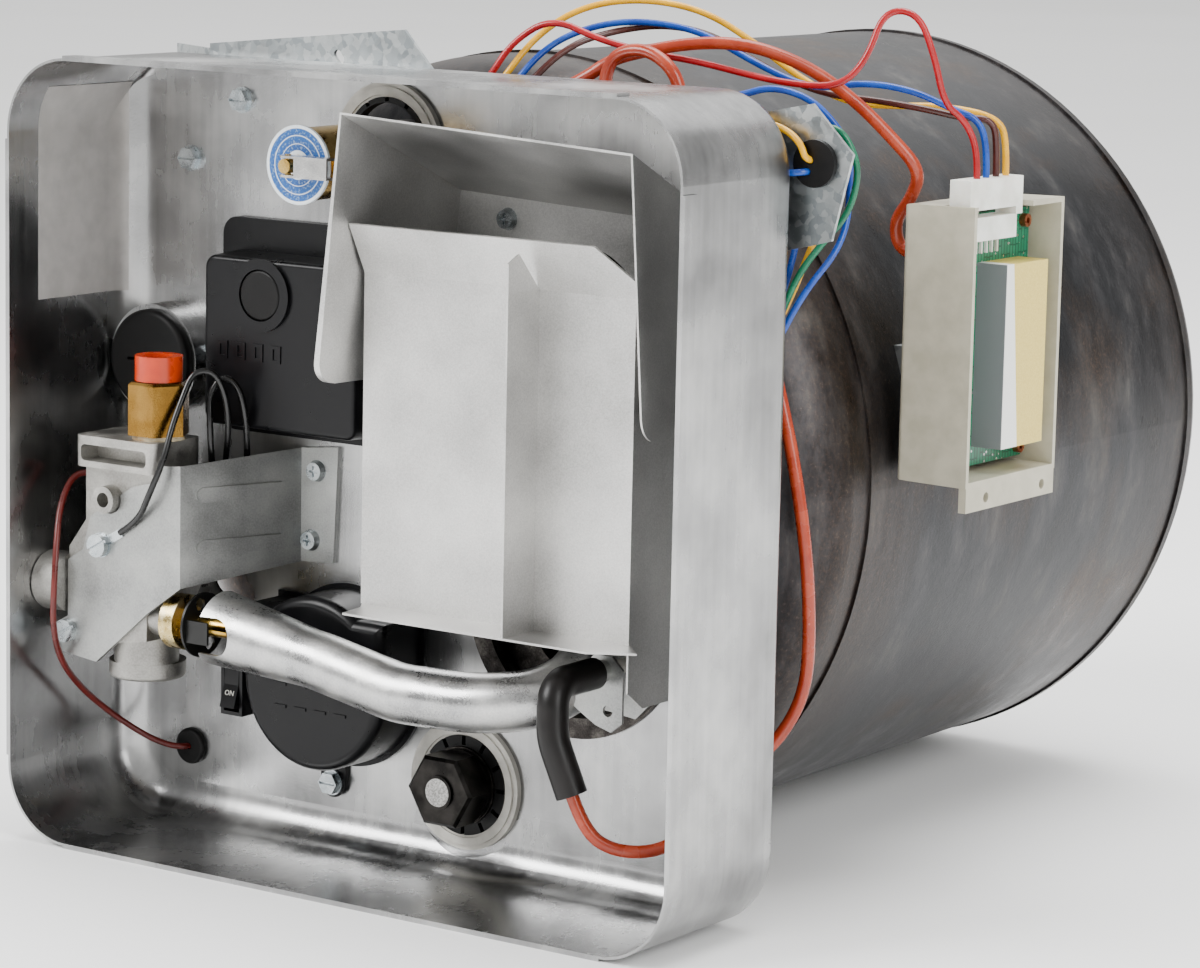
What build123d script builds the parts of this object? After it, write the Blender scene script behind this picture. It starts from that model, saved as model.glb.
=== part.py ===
# Tank water heater for a caravan, gas burner and electric element, seen without its outer casing.
# Millimetres. X right, Y back into the vehicle, Z up.
# The origin is the middle of the front bottom edge of the pan.
from math import hypot, pi, radians, tan
import os

from build123d import *

os.makedirs("parts", exist_ok=True)

# Front pan
PAN_W = 322.0
PAN_H = 316.0
PAN_D = 73.0
PAN_CORNER = 30.0
SHEET = 1.0
DRAW_R = 15.0
TIGHT_R = 5.0
HEM_T = 1.0
HEM_D = 8.0
HEM_SIDE = 262.0
HEM_UP = 248.0
LABEL_T = 0.25
LABEL_Y = 67.0
LABEL_REACH = 50.0
LABEL_W = 40.0
LABEL_H = 85.0
LABEL_Z = 259.5

# Tank
TANK_R = 159.0
TANK_Z = 160.0
TANK_WALL = 2.0
HEAD_FRONT = 82.0
HEAD_RISE = 6.0
KNUCKLE_R = 35.0
SKIRT_END = 136.0
SHELL_END = 398.0
REAR_KNUCKLE_R = 22.0
REAR_RISE = 8.0
SEAM_W = 4.0
SEAM_PROUD = 1.0

# Water fittings at the rear, half-inch female pipe thread
PORT_R = 9.3
PORT_OUT_R = 14.0
PORT_DEEP = 20.0
PORT_PROUD = 10.0
COLD_Z = 52.0
HOT_Z = 270.0

# Drain opening with the anode plug
DRAIN_X = 17.0
DRAIN_Z = 36.0
DRAIN_SPUD_R = 15.5
DRAIN_BORE_R = 13.3
PLUG_AF = 27.0
PLUG_HEX_T = 13.0
PLUG_COLLAR_R = 14.8
PLUG_COLLAR_T = 2.0
ROD_R = 9.5
ROD_L = 228.0
BEZEL_R = 26.0
BEZEL_IN_R = 20.0
BEZEL_T = 2.5
SEAL_T = 5.0
SEAL_TEETH = 12
TOOTH_W = 1.8
BOSS_R = 29.0
SPUD_SHORT = 20.0
DRAIN_SPUD_Y = 68.0

# Relief valve
RELIEF_X = -30.0
RELIEF_Z = 279.0
RELIEF_BEZEL_X = -25.0
RELIEF_BEZEL_Z = 283.0
NIPPLE_R = 10.6
RELIEF_SPUD_R = 14.0
RELIEF_SPUD_Y = 76.0
RELIEF_BODY_R = 14.0
RELIEF_HEX_AF = 27.0
RELIEF_FRONT = 22.0
DISC_R = 15.2
DISC_T = 1.2
STEM_R = 2.8
STEM_TIP = 12.5
LEVER_PIN_Y = 15.0
LEVER_L = 21.0
LEVER_W = 5.0
LEVER_T = 0.9
LEVER_PIN_R = 1.2
OUTLET_R = 10.5
OUTLET_L = 24.0
OUTLET_Y = 44.5

# Burner opening and fire tube
BURNER_X = 67.0
BURNER_Z = 112.0
BURNER_HOLE_R = 44.0
BURNER_RING_R = 50.0
BURNER_RING_T = 1.5
THROAT_L = 9.0
FLUE_Z = 222.0
FLUE_R = 30.0
FLUE_WALL = 1.5
FLUE_TURN_Y = 300.0

# Heating element
ELEMENT_X = -41.0
ELEMENT_Z = 74.0
ELEMENT_AF = 38.0
ELEMENT_SPUD_R = 22.0
ELEMENT_SPUD_Y = 70.0
GASKET_T = 1.5
ELEMENT_BORE_R = 16.5
ELEMENT_ROD_R = 4.0
ELEMENT_ROD_GAP = 9.0
ELEMENT_L = 215.0

# Covers
LIMIT_L = -107.0
LIMIT_R = -22.0
LIMIT_LOW = 165.0
LIMIT_HIGH = 251.0
LIMIT_BOX_LOW = 168.5
LIMIT_BOX_HIGH = 238.0
LIMIT_BOX_L = -103.5
LIMIT_BOX_FRONT = 52.0
COVER_T = 2.0
LIMIT_CORNER = 7.0
LIMIT_SIDE = 3.0
LIMIT_WALL = 2.5
BOX_CORNER = 6.0
BOX_DRAFT = 3.0
RIM_T = 1.5
RESET_GAP = 0.3
MARK_T = 0.7
MARK_SINK = 0.2
RESET_X = -73.0
RESET_Z = 223.0
RESET_RIM_R = 14.5
RESET_R = 10.0
DCOVER_R = 35.0
DCOVER_TOP = 100.0
DCOVER_FRONT = 45.0
SWITCH_W = 11.0
SWITCH_H = 24.0
SWITCH_X = -87.0
SWITCH_Z = 64.0
SWITCH_FRONT = 52.0

# Hood and baffle in thin sheet
THIN = 0.8
HOOD_FRONT = 2.0
HOOD_CORNER = 9.0
BAFFLE_Y = 20.0
BAFFLE_L = 3.5
BAFFLE_R = 127.6
BAFFLE_LOW = 114.0
BAFFLE_HIGH = 241.0
RIB_X = 84.0

# Gas valve and burner feed
VALVE_SHEET = 2.0
BRACKET_Y = 20.0
ARM_X = -87.0
ARM_BACK_X = -66.5
FLANGE_END_X = -48.0
INLET_X = -107.0
INLET_Y = 30.0
INLET_AF = 22.0
INLET_HIGH = 188.0
INLET_BORE_R = 5.0
FLARE_R = 7.5
FLARE_H = 5.0
CAP_H = 10.0
CAP_LIFT = 0.3
CAP_WALL = 2.0
CAP_GAP = 0.1
NOZZLE_Z = 93.0
NOZZLE_Y = 29.5
NOZZLE_END_X = -97.0
MOUTH_X = -74.0
MOUTH_R = 15.0
TUBE_R = 11.5
TUBE_WALL = 1.2
SHUTTER_R = 13.0
TAB_R = 10.5
TAB_W = 9.0
TAB_L = 12.0
ORIFICE_R = 4.0

# Control board case on the tank's right side
CASE_STANDOFF = 5.0
CASE_FRONT_Y = 145.0
CASE_D = 31.0
CASE_L = 68.0
CASE_LOW = 164.5
CASE_HIGH = 270.0
CASE_T = 2.0
FLANGE_DROP = 10.0
FLANGE_T = 3.2
FLANGE_HOLE_R = 2.0
FLANGE_SPACING = 43.5
BOARD_T = 1.6

# Fasteners
SCREW_R = 1.9
SCREW_HOLE_R = 2.0
HEX_HEAD_AF = 8.0
HEX_HEAD_T = 3.0
WASHER_R = 5.2
WASHER_T = 1.0
PAN_HEAD_R = 4.4
PAN_HEAD_T = 2.6
SCREW_L = 9.0
SLOT_W = 1.2
SLOT_DEEP = 1.4
CROSS_W = 1.0
HEAD_DRAFT = 18.0

# Small openings, plugs and screws in the pan's back
PLUG_X = -136.0
PLUG_Z = 191.0
PLUG_R = 20.5
PLUG_PAD_Y = 60.0
PLUG_HOLE_R = 15.0
PLUG_DOME_T = 4.0
GROMMET_X = -124.0
GROMMET_Z = 30.7
GROMMET_HOLE_R = 5.5
GROMMET_R = 7.5
OVAL_X = -101.5
OVAL_Z = 99.5
OVAL_L = 20.0
OVAL_W = 10.0
OVAL_TURN = -20.0
LEAD_HOLE_X = 140.0
LEAD_HOLE_Z = 60.0
LEAD_HOLE_R = 4.0
HEX_SCREWS = [(-99.7, 297.4), (-126.1, 272.6), (-108.2, 195.5)]
COVER_SCREW = (-48.8, 27.0)
HOOD_SCREW = (32.4, 259.6)
FLANGE_SCREWS = [(-58.6, 152.4), (-61.3, 124.2)]

# Details of the element, the relief valve and the covers
ELEMENT_HEX_T = 7.0
TERMINAL_R = 2.4
TERMINAL_H = 5.0
RELIEF_HEX_Y = 68.0
RELIEF_HEX_T = 12.0
STEM_BORE_END = 44.0
STEM_L = 20.0
LEVER_R = 3.2
SWITCH_PIN_R = 2.0
SWITCH_BODY_Y = 62.0
PIN_FRONT = 58.5
SWITCH_BODY_R = 9.0
DCOVER_Z = 72.0
SWITCH_WALL = 1.5
PIVOT_R = 1.0
ROCKER_TILT = 10.0
ROCKER_GAP = 1.1

# Hood and baffle outlines
HOOD_FACE = [(5, 302), (137, 295), (144, 192), (-7, 199)]
HOOD_REAR = [(9, 270), (131, 263.8), (135.9, 192), (0, 199)]
LIP_FRONT_Y = 0.5
HOOD_SLOPE = 0.07
HOOD_CUT = 20.0

# Details of the gas valve and its bracket
PORT_X = -124.0
TEST_PORT_Z = 140.0
TEST_PORT_R = 5.5
BOLT_R = 2.5
VALVE_BOLTS = [(-128.0, 121.0), (-146.0, 84.0)]
TERMINAL_T = 0.8
TERMINAL_RING_R = 5.0
TAIL_X = 7.0
TAIL_Z = 4.0
TAIL_L = 9.0
TAIL_W = 3.6
TAIL_TURN = 30.0
BOLT_HEAD_R = 4.6
BOLT_HEAD_T = 3.0
BOLT_DEEP = 10.0
BOLT_FIT = 0.05
TERMINAL_GAP = 0.05
VALVE_D = 30.0
BODY_TOP = 152.5
ELBOW_X = -118.0
ELBOW_R = 13.0
SIDE_CAP_R = 12.0
NECK_R = 7.0
BASE_CAP_R = 15.5
YOKE_H = 12.5
YOKE_X = -118.5
YOKE_W = 41.0
YOKE_D = 30.0
YOKE_WALL = 3.5
ELBOW_LOW = 73.0
ELBOW_H = 24.0
BASE_CAP_T = 7.0
SIDE_CAP_X = -158.5
SIDE_CAP_Z = 103.0
SIDE_CAP_L = 11.5
TEST_PORT_DEEP = 6.0
TEST_PORT_WALL = 2.5
SEALANT_T = 1.8
RING_R = 11.0
RING_L = 7.0
HEX_L = 6.0
ORIFICE_L = 16.0
JET_R = 1.2
JET_DEEP = 10.0
VENT_R = 2.6
SHUTTER_T = 1.0
FLARE_L = 46.0
CLAMP_T = 1.5

# Igniter
CERAMIC_X = 100.0
CERAMIC_Z = 97.0
CERAMIC_R = 2.8
CERAMIC_FRONT = 24.0
CERAMIC_END = 70.0
CLIP_Y = 45.0
CLIP_T = 1.2
BOOT_R = 6.0

# Details of the board case
POST_H = 14.0
CARRIER_W = 30.0
CARRIER_H = 46.0
CARRIER_UP = 30.0
CARRIER_DEEP = 20.0
BLOCK_Y = (171.0, 203.0)
BLOCK_Z = (176.0, 247.0)
BLOCK_T = 13.0
POST_R = 2.6
POST_NECK_R = 1.6
POST_BORE_R = 1.2
POST_RIM_T = 2.5
HEADER_H = 9.0
HEADER_T = 8.0
PLUG_T = 9.0
PLUG_RISE = 10.0
PLUG_OVERLAP = 4.5
HEADER_FROM_FRONT = 23.0
HEADER_L = 36.0

# Corner plates and leads
PLATE_T = 1.5
WIRE_PLATE_Y = 80.0
WIRE_HOLE = (165.0, 289.0)
WIRE_HOLE_R = 7.0
PLATE_BORES = [(163.4, 290.0), (162.5, 286.0)]
PLATE_LIP = 2.5
WING_BACK = 16.0
LEAD_R = 1.3
WIRE_R = 1.3
CABLE_R = 2.5
BORE_GAP = 0.1
CORNER_SHARE = 0.45

# Row grommets behind the limit cover: their middles, turns, bore counts and pitches
HARNESS_ROW = (-40.8, 224.0)
HARNESS_TURN = -38.13
HARNESS_BORES = 7
HARNESS_PITCH = 3.615
SWITCH_ROW = (-93.3, 189.0)
SWITCH_BORES = 2
SWITCH_PITCH = 3.8
ROW_MARGIN = 1.8
ROW_LIP = 1.3

# Passages for the leads of the element, the gas valve and the igniter
ELEMENT_ENTRY = (-66.8, 91.0)
ELEMENT_ENTRY_R = 6.2
ENTRY_PROUD = 0.4
ELEMENT_BORES = [(-64.1, 90.5), (-66.5, 93.7), (-67.1, 88.3), (-69.5, 91.5)]
VALVE_LEADS_HOLE = (-104.5, 104.0)
VALVE_LEADS_HOLE_R = 8.5
CABLE_ENTRY = (160.1, 249.1)
CABLE_ENTRY_R = 2.9

# Routes of the wires: corner points of straight runs, from the hidden end to the visible one
RED_ROUTE = [(-49.3, 70, 230.7), (-49.3, 78, 230.7), (-42.3, 78.6, 244.7), (-19.3, 79.4, 262.7),
    (-4.9, 80, 289.1), (15.5, 81, 312.5), (22.1, 86, 325.9), (37.9, 90, 336), (56.9, 95, 328),
    (76.7, 100, 323.9), (95.5, 106, 321.3), (118, 111, 316.6), (133.4, 117, 314.2),
    (148.2, 123, 314.4), (155.5, 129, 325), (158.2, 135, 342.8), (171, 139, 342.5),
    (176.3, 143, 325.5), (177.9, 148, 308.2), (182, 157, 302), (186.3, 160, 291), (186.3, 160, 280)]
BLUE_ROUTE = [(-43.6, 70, 226.2), (-43.6, 78, 226.2), (-36.6, 78.6, 240.2), (-13.6, 79.4, 258.2),
    (2.7, 80, 284.9), (25, 81, 308.5), (33.1, 93, 324.6), (44.2, 107, 332.4), (59.4, 118, 335),
    (81.9, 126, 332), (103.9, 132, 320), (125.7, 138, 311), (143.5, 145, 314.7), (161.4, 152, 312.4),
    (174.2, 159, 306), (184, 164.5, 302), (186.3, 167, 291), (186.3, 167, 280)]
BROWN_ROUTE = [(-40.8, 70, 224), (-40.8, 78, 224), (-33.8, 78.6, 238), (-10.8, 79.4, 256),
    (6.1, 80, 282.8), (29, 81, 306.5), (40.4, 96, 324.9), (51.1, 114, 330.9), (67, 126, 333.6),
    (84.9, 134, 329.6), (103.7, 141, 317.3), (124.6, 147, 309), (146.9, 153, 307.4),
    (164.9, 160, 304.7), (175.5, 166, 302), (185.5, 172.5, 302), (186.3, 174.5, 291),
    (186.3, 174.5, 280)]
YELLOW_ROUTE = [(-46.5, 70, 228.5), (-46.5, 78, 228.5), (-39.5, 78.6, 242.5), (-16.5, 79.4, 260.5),
    (-1, 80, 287), (20.5, 81, 310.5), (27.1, 94, 328.1), (39.8, 107, 339.8), (59.4, 119, 343.4),
    (79.5, 132, 339.4), (96.3, 142, 327.6), (113.5, 150, 313.7), (132.3, 155, 305.3),
    (151.6, 160, 305.4), (166.3, 168, 305.9), (184.5, 179.5, 302), (186.3, 182, 291),
    (186.3, 182, 280)]
IGNITER_ROUTE = [(110, 11, 57), (114.8, 12.2, 44.4), (124, 17, 37), (136, 29, 36), (143, 43, 43),
    (142, 56, 53), (140, 68, 60), (140, 83, 60), (147, 94, 69), (157, 95.5, 88), (160.5, 92, 114),
    (159, 89.5, 146), (153, 88, 180), (144, 87.5, 212), (134, 88.3, 242), (124, 88.5, 268),
    (113, 88, 290), (103, 84, 306.9), (99.9, 82, 320.2), (85.6, 81.5, 327.6), (69.3, 81.5, 322.3),
    (69, 81.5, 300), (62, 81.5, 280), (43, 81.5, 271), (27, 81.5, 287), (38, 81.5, 305),
    (58.6, 82.5, 313.8), (68.2, 87, 321.7), (80, 95, 325.4), (94.1, 103, 328.5), (110.2, 110, 329),
    (123.2, 120, 324.8), (135.5, 129, 317.6), (147.8, 137, 306.6), (157.8, 143, 295.3),
    (168, 149.5, 282.5), (161.5, 154.5, 271.5), (151.5, 158.5, 261.5), (153, 160.8, 250),
    (167, 160, 249), (180, 160, 249)]
ELEMENT_BLUE_ROUTE = [(-38, 70, 221.8), (-38, 77.2, 221.8), (-33, 77.2, 233.8), (-16, 75.4, 247),
    (8, 75.4, 267), (38, 75.4, 281), (68, 75.4, 293), (96, 76, 300), (117, 78, 308.5),
    (130.6, 81, 311.9), (141.2, 86, 315.5), (154.3, 91, 311.7), (163.3, 95, 302.5),
    (167.6, 98.5, 293.1), (167, 100, 281.9), (167.9, 98, 267), (166.9, 92, 255.5), (161.5, 83, 244),
    (156.5, 76.6, 231), (145.5, 76.4, 209), (122.5, 76.4, 190), (95, 76.4, 178), (67, 76.4, 172.5),
    (39, 76.4, 165), (13.5, 76.4, 149.5), (-10.5, 76.4, 128.5), (-29.5, 76.4, 113.8),
    (-46, 76.4, 103.5), (-54, 76.4, 96), (-64.1, 76.4, 90.5), (-64.1, 70, 90.5)]
ELEMENT_GREEN_ROUTE = [(157, 81.5, 299), (157, 87, 299), (162, 91, 302), (168.5, 92, 300),
    (172.4, 95, 290.6), (172.9, 96, 282.5), (170.3, 94, 269.6), (162.6, 88, 258.5), (157.5, 80.5, 247),
    (154.1, 76.6, 234.2), (143.1, 76.4, 212.2), (120.1, 76.4, 193.2), (92.6, 76.4, 181.2),
    (64.6, 76.4, 175.7), (36.6, 76.4, 168.2), (11.1, 76.4, 152.7), (-12.9, 76.4, 131.7),
    (-31.9, 76.4, 117), (-48.4, 76.4, 106.7), (-56.4, 76.4, 99.2), (-66.5, 76.4, 93.7),
    (-66.5, 70, 93.7)]
BRACKET_YELLOW_ROUTE = [(-35.1, 70, 219.5), (-35.1, 77.2, 219.5), (-30.1, 77.2, 231.5),
    (-10, 75.4, 247.3), (20, 75.4, 269.5), (54, 75.4, 281.5), (88, 75.4, 292.5), (116, 75.6, 300),
    (138, 75.7, 304.5), (153.3, 75.8, 301.4), (161.2, 74.7, 296.4), (163.4, 74.7, 290),
    (163.4, 88.5, 290), (161.5, 96, 281), (158, 96.5, 267), (156, 88, 251), (153, 80, 234),
    (141, 79.9, 213), (120.5, 79.9, 194.5), (94, 79.9, 182), (66, 79.9, 176.5), (36.5, 79.9, 168.5),
    (10.5, 79.9, 152.5), (-13, 79.9, 131.5), (-36.5, 79.9, 113.5), (-48.5, 79.9, 102),
    (-57, 79.9, 94.5), (-67.1, 79.9, 88.3), (-67.1, 70, 88.3)]
BRACKET_BLUE_ROUTE = [(-32.3, 70, 217.3), (-32.3, 77.2, 217.3), (-27.3, 77.2, 229.3),
    (-5.5, 75.4, 243.5), (22, 75.4, 265), (56, 75.4, 277), (90, 75.4, 286), (118, 75.5, 289.5),
    (140, 75.6, 287.5), (154.5, 74.5, 285), (162.5, 74.4, 286), (162.5, 89.3, 286), (156.5, 90.5, 277),
    (152.5, 88.5, 262), (151.5, 84.5, 247), (148.5, 80.4, 232), (138.6, 79.9, 216.2),
    (118.1, 79.9, 197.7), (91.6, 79.9, 185.2), (63.6, 79.9, 179.7), (34.1, 79.9, 171.7),
    (8.1, 79.9, 155.7), (-15.4, 79.9, 134.7), (-38.9, 79.9, 116.7), (-50.9, 79.9, 105.2),
    (-59.4, 79.9, 97.7), (-69.5, 79.9, 91.5), (-69.5, 70, 91.5)]
VALVE_ROUTE = [(-138, 34, 147), (-144.5, 34, 147), (-150, 27.5, 146.5), (-148.5, 18, 135.5),
    (-144.5, 11.5, 121), (-142.6, 8, 104), (-143.9, 8.7, 87), (-148, 18, 71), (-150, 33, 57),
    (-147.5, 47, 45.5), (-139.5, 57.5, 36), (-132, 62.3, 32), (-124, 65.8, 30.7), (-124, 74, 30.7)]
SWITCH_ROUTE_A = [(-117.1, 18.6, 127.3), (-107.6, 18.6, 132.8), (-98.5, 14.5, 145), (-93.2, 17, 159),
    (-93.2, 22, 172), (-92.5, 27.5, 183), (-91, 32, 193), (-84.5, 37, 193.5), (-81.8, 41, 184),
    (-82.5, 44, 172), (-86.5, 47, 158), (-91, 49.5, 145), (-97, 53, 133), (-104, 57, 123),
    (-107.5, 60, 109), (-107, 70, 104), (-105.5, 78, 107), (-102, 78.6, 121), (-99.5, 78.4, 140),
    (-97.5, 78, 160), (-96, 78, 177), (-95.2, 77.4, 189), (-95.2, 70, 189)]
SWITCH_ROUTE_B = [(-99, 45, 142), (-92.5, 45, 142), (-88.8, 41.5, 152), (-88, 39.5, 163),
    (-88.2, 39, 173.5), (-89.5, 40, 183.5), (-86, 44, 191), (-80, 46.8, 187), (-77.5, 48.3, 175.5),
    (-79.5, 51.6, 163), (-83, 56, 150), (-89, 58, 138), (-96, 60.5, 127), (-101.5, 63, 115),
    (-102.5, 71, 106.5), (-101.5, 78, 108.5), (-98, 79, 121.5), (-95.5, 78.6, 140), (-93.4, 78.2, 160),
    (-92, 78, 177), (-91.4, 77.4, 189), (-91.4, 70, 189)]

# Values that follow from the sizes above
WALL_X = PAN_W / 2 - HEM_T
INNER_X = WALL_X - SHEET
BACK_Y = PAN_D - SHEET
HEAD_EDGE_R = TANK_R - KNUCKLE_R
KNUCKLE_Y = HEAD_FRONT + HEAD_RISE + KNUCKLE_R
REAR_EDGE_R = TANK_R - REAR_KNUCKLE_R
TANK_REAR = SHELL_END + REAR_KNUCKLE_R + REAR_RISE
CASE_BACK = TANK_R + CASE_STANDOFF
CASE_OPEN = CASE_BACK + CASE_D
CASE_END_Y = CASE_FRONT_Y + CASE_L


def at_y(y):
    """The plane across the heater at this depth; it extrudes towards the front."""
    return Plane.XZ.offset(-y)


def side_plane(x):
    """The plane along the heater at this x, with Y to its right and Z up; it extrudes to +X."""
    return Plane(origin=(x, 0, 0), x_dir=(0, 1, 0), z_dir=(1, 0, 0))


# The tank's section lies on this plane: local x runs back along Y, local y is the radius
SECTION = Plane(origin=(0, 0, TANK_Z), x_dir=(0, 1, 0), z_dir=(0, 0, -1))
TANK_AXIS = Axis((0, 0, TANK_Z), (0, 1, 0))


def row_outline(bores, pitch, margin, turn):
    """The oblong round a row of wire bores, this much larger than the bores all round."""
    with BuildSketch() as outline:
        width = 2 * (WIRE_R + margin)
        SlotOverall((bores - 1) * pitch + width, width, rotation=turn)
    return outline.sketch


# The drawn tray as a solid, inset from its outside, reaching forward past the rim by some length
def tray_form(inset, forward):
    half = WALL_X - inset
    low = HEM_T + inset
    high = PAN_H - HEM_T - inset
    back = PAN_D - inset
    reach = 80.0
    with BuildPart() as wide:
        with BuildSketch(at_y(back)) as face:
            with Locations((-half, low)):
                Rectangle(2 * half + reach, high - low + reach, align=(Align.MIN, Align.MIN))
            fillet(face.vertices().group_by(Axis.X)[0].sort_by(Axis.Z)[0], PAN_CORNER - inset)
        extrude(amount=back + forward)
        rear = wide.edges().group_by(Axis.Y)[-1]
        fillet(rear.filter_by(lambda e: e.center().X < half and e.center().Z < high), DRAW_R - inset)
    with BuildPart() as form:
        with BuildSketch(at_y(back)):
            with Locations((0, (low + high) / 2)):
                RectangleRounded(2 * half, high - low, PAN_CORNER - inset)
        extrude(amount=back + forward)
        fillet(form.edges().group_by(Axis.Y)[-1], TIGHT_R - inset)
        add(wide.part, mode=Mode.INTERSECT)
    return form.part


with BuildPart() as front_pan:
    add(tray_form(0, 0))
    with BuildSketch(at_y(PAN_D)):
        with Locations((DRAIN_X, DRAIN_Z)):
            Circle(BOSS_R + SHEET)
    extrude(amount=DRAW_R)
    with BuildSketch(at_y(PAN_D)):
        with Locations((PLUG_X, PLUG_Z)):
            Circle(PLUG_R + SHEET)
    extrude(amount=BACK_Y - PLUG_PAD_Y, mode=Mode.SUBTRACT)
    # The hollow is the same form one sheet thickness in
    add(tray_form(SHEET, 2 * SHEET), mode=Mode.SUBTRACT)
    with BuildSketch(at_y(BACK_Y)):
        with Locations((DRAIN_X, DRAIN_Z)):
            Circle(BOSS_R)
    extrude(amount=DRAW_R, mode=Mode.SUBTRACT)
    with BuildSketch(at_y(PAN_D)):
        with Locations((PLUG_X, PLUG_Z)):
            Circle(PLUG_R + 2 * SHEET)
            Circle(PLUG_R + SHEET, mode=Mode.SUBTRACT)
    extrude(amount=PAN_D - PLUG_PAD_Y)
    with BuildSketch(at_y(PLUG_PAD_Y + SHEET)):
        with Locations((PLUG_X, PLUG_Z)):
            Circle(PLUG_R + 2 * SHEET)
    extrude(amount=SHEET)
    # Hems folded outwards along the straight of each side
    with BuildSketch(at_y(HEM_D)):
        with Locations((0, HEM_T / 2), (0, PAN_H - HEM_T / 2)):
            Rectangle(HEM_SIDE, HEM_T)
        with Locations((-PAN_W / 2 + HEM_T / 2, PAN_H / 2), (PAN_W / 2 - HEM_T / 2, PAN_H / 2)):
            Rectangle(HEM_T, HEM_UP)
    extrude(amount=HEM_D)
    # Openings in the back
    with BuildSketch(at_y(PAN_D + SHEET)):
        with Locations((DRAIN_X, DRAIN_Z)):
            Circle(BEZEL_IN_R + SHEET)
        with Locations((RELIEF_BEZEL_X, RELIEF_BEZEL_Z)):
            Circle(BEZEL_IN_R + SHEET)
        with Locations((BURNER_X, BURNER_Z)):
            Circle(BURNER_HOLE_R)
        with Locations((BURNER_X, FLUE_Z)):
            Circle(FLUE_R + CAP_GAP)
        with Locations((ELEMENT_X, ELEMENT_Z)):
            Circle(ELEMENT_SPUD_R + SHEET)
        with Locations((PLUG_X, PLUG_Z)):
            Circle(PLUG_HOLE_R)
        with Locations((GROMMET_X, GROMMET_Z)):
            Circle(GROMMET_HOLE_R)
        with Locations((OVAL_X, OVAL_Z)):
            SlotOverall(OVAL_L, OVAL_W, rotation=OVAL_TURN)
        with Locations((LEAD_HOLE_X, LEAD_HOLE_Z)):
            Circle(LEAD_HOLE_R)
        with Locations(HARNESS_ROW):
            add(row_outline(HARNESS_BORES, HARNESS_PITCH, ROW_MARGIN, HARNESS_TURN))
        with Locations(SWITCH_ROW):
            add(row_outline(SWITCH_BORES, SWITCH_PITCH, ROW_MARGIN, 0))
        with Locations(ELEMENT_ENTRY):
            Circle(ELEMENT_ENTRY_R)
        with Locations(VALVE_LEADS_HOLE):
            Circle(VALVE_LEADS_HOLE_R)
        with Locations(*HEX_SCREWS, COVER_SCREW, HOOD_SCREW, *FLANGE_SCREWS):
            Circle(SCREW_HOLE_R)
    extrude(amount=PAN_D - PLUG_PAD_Y + 4 * SHEET, mode=Mode.SUBTRACT)
front_pan.part.label = "front_pan"
export_step(front_pan.part, "parts/front_pan.step")

# Blank sticker on the left wall, following the drawn corner
with BuildPart() as pan_label:
    add(tray_form(SHEET, 0))
    add(tray_form(SHEET + LABEL_T, 2 * SHEET), mode=Mode.SUBTRACT)
    with BuildSketch(at_y(LABEL_Y)):
        with Locations((-INNER_X, LABEL_Z)):
            Rectangle(LABEL_W, LABEL_H)
    extrude(amount=LABEL_REACH, mode=Mode.INTERSECT)
pan_label.part.label = "pan_label"
export_step(pan_label.part, "parts/pan_label.step")

# Tank: front head, shell, rear head and the two weld seams
with BuildPart() as front_head:
    with BuildSketch(SECTION):
        with BuildLine():
            l1 = Line((SKIRT_END, TANK_R), (KNUCKLE_Y, TANK_R))
            l2 = RadiusArc(l1 @ 1, (KNUCKLE_Y - KNUCKLE_R, HEAD_EDGE_R), -KNUCKLE_R)
            l3 = ThreePointArc(l2 @ 1, (HEAD_FRONT + HEAD_RISE / 4, HEAD_EDGE_R / 2), (HEAD_FRONT, 0))
            l4 = Line(l3 @ 1, (HEAD_FRONT + TANK_WALL, 0))
            l5 = ThreePointArc(l4 @ 1, (HEAD_FRONT + TANK_WALL + HEAD_RISE / 4, HEAD_EDGE_R / 2),
                               (KNUCKLE_Y - KNUCKLE_R + TANK_WALL, HEAD_EDGE_R))
            l6 = RadiusArc(l5 @ 1, (KNUCKLE_Y, TANK_R - TANK_WALL), KNUCKLE_R - TANK_WALL)
            l7 = Line(l6 @ 1, (SKIRT_END, TANK_R - TANK_WALL))
            Line(l7 @ 1, l1 @ 0)
        make_face()
    revolve(axis=TANK_AXIS)
    with BuildSketch(at_y(KNUCKLE_Y)):
        with Locations((DRAIN_X, DRAIN_Z)):
            Circle(DRAIN_SPUD_R)
        with Locations((RELIEF_X, RELIEF_Z)):
            Circle(RELIEF_SPUD_R)
        with Locations((ELEMENT_X, ELEMENT_Z)):
            Circle(ELEMENT_SPUD_R)
        with Locations((BURNER_X, BURNER_Z), (BURNER_X, FLUE_Z)):
            Circle(FLUE_R)
    extrude(amount=KNUCKLE_Y - HEAD_FRONT + 5, mode=Mode.SUBTRACT)

with BuildPart() as tank_shell:
    with BuildSketch(at_y(SHELL_END)):
        with Locations((0, TANK_Z)):
            Circle(TANK_R)
            Circle(TANK_R - TANK_WALL, mode=Mode.SUBTRACT)
    extrude(amount=SHELL_END - SKIRT_END)
    for seam_y in (SKIRT_END, SHELL_END):
        with BuildSketch(at_y(seam_y + SEAM_W / 2)):
            with Locations((0, TANK_Z)):
                Circle(TANK_R + SEAM_PROUD)
                Circle(TANK_R, mode=Mode.SUBTRACT)
        extrude(amount=SEAM_W)
tank_shell.part.label = "tank_shell"
export_step(tank_shell.part, "parts/tank_shell.step")

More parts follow.
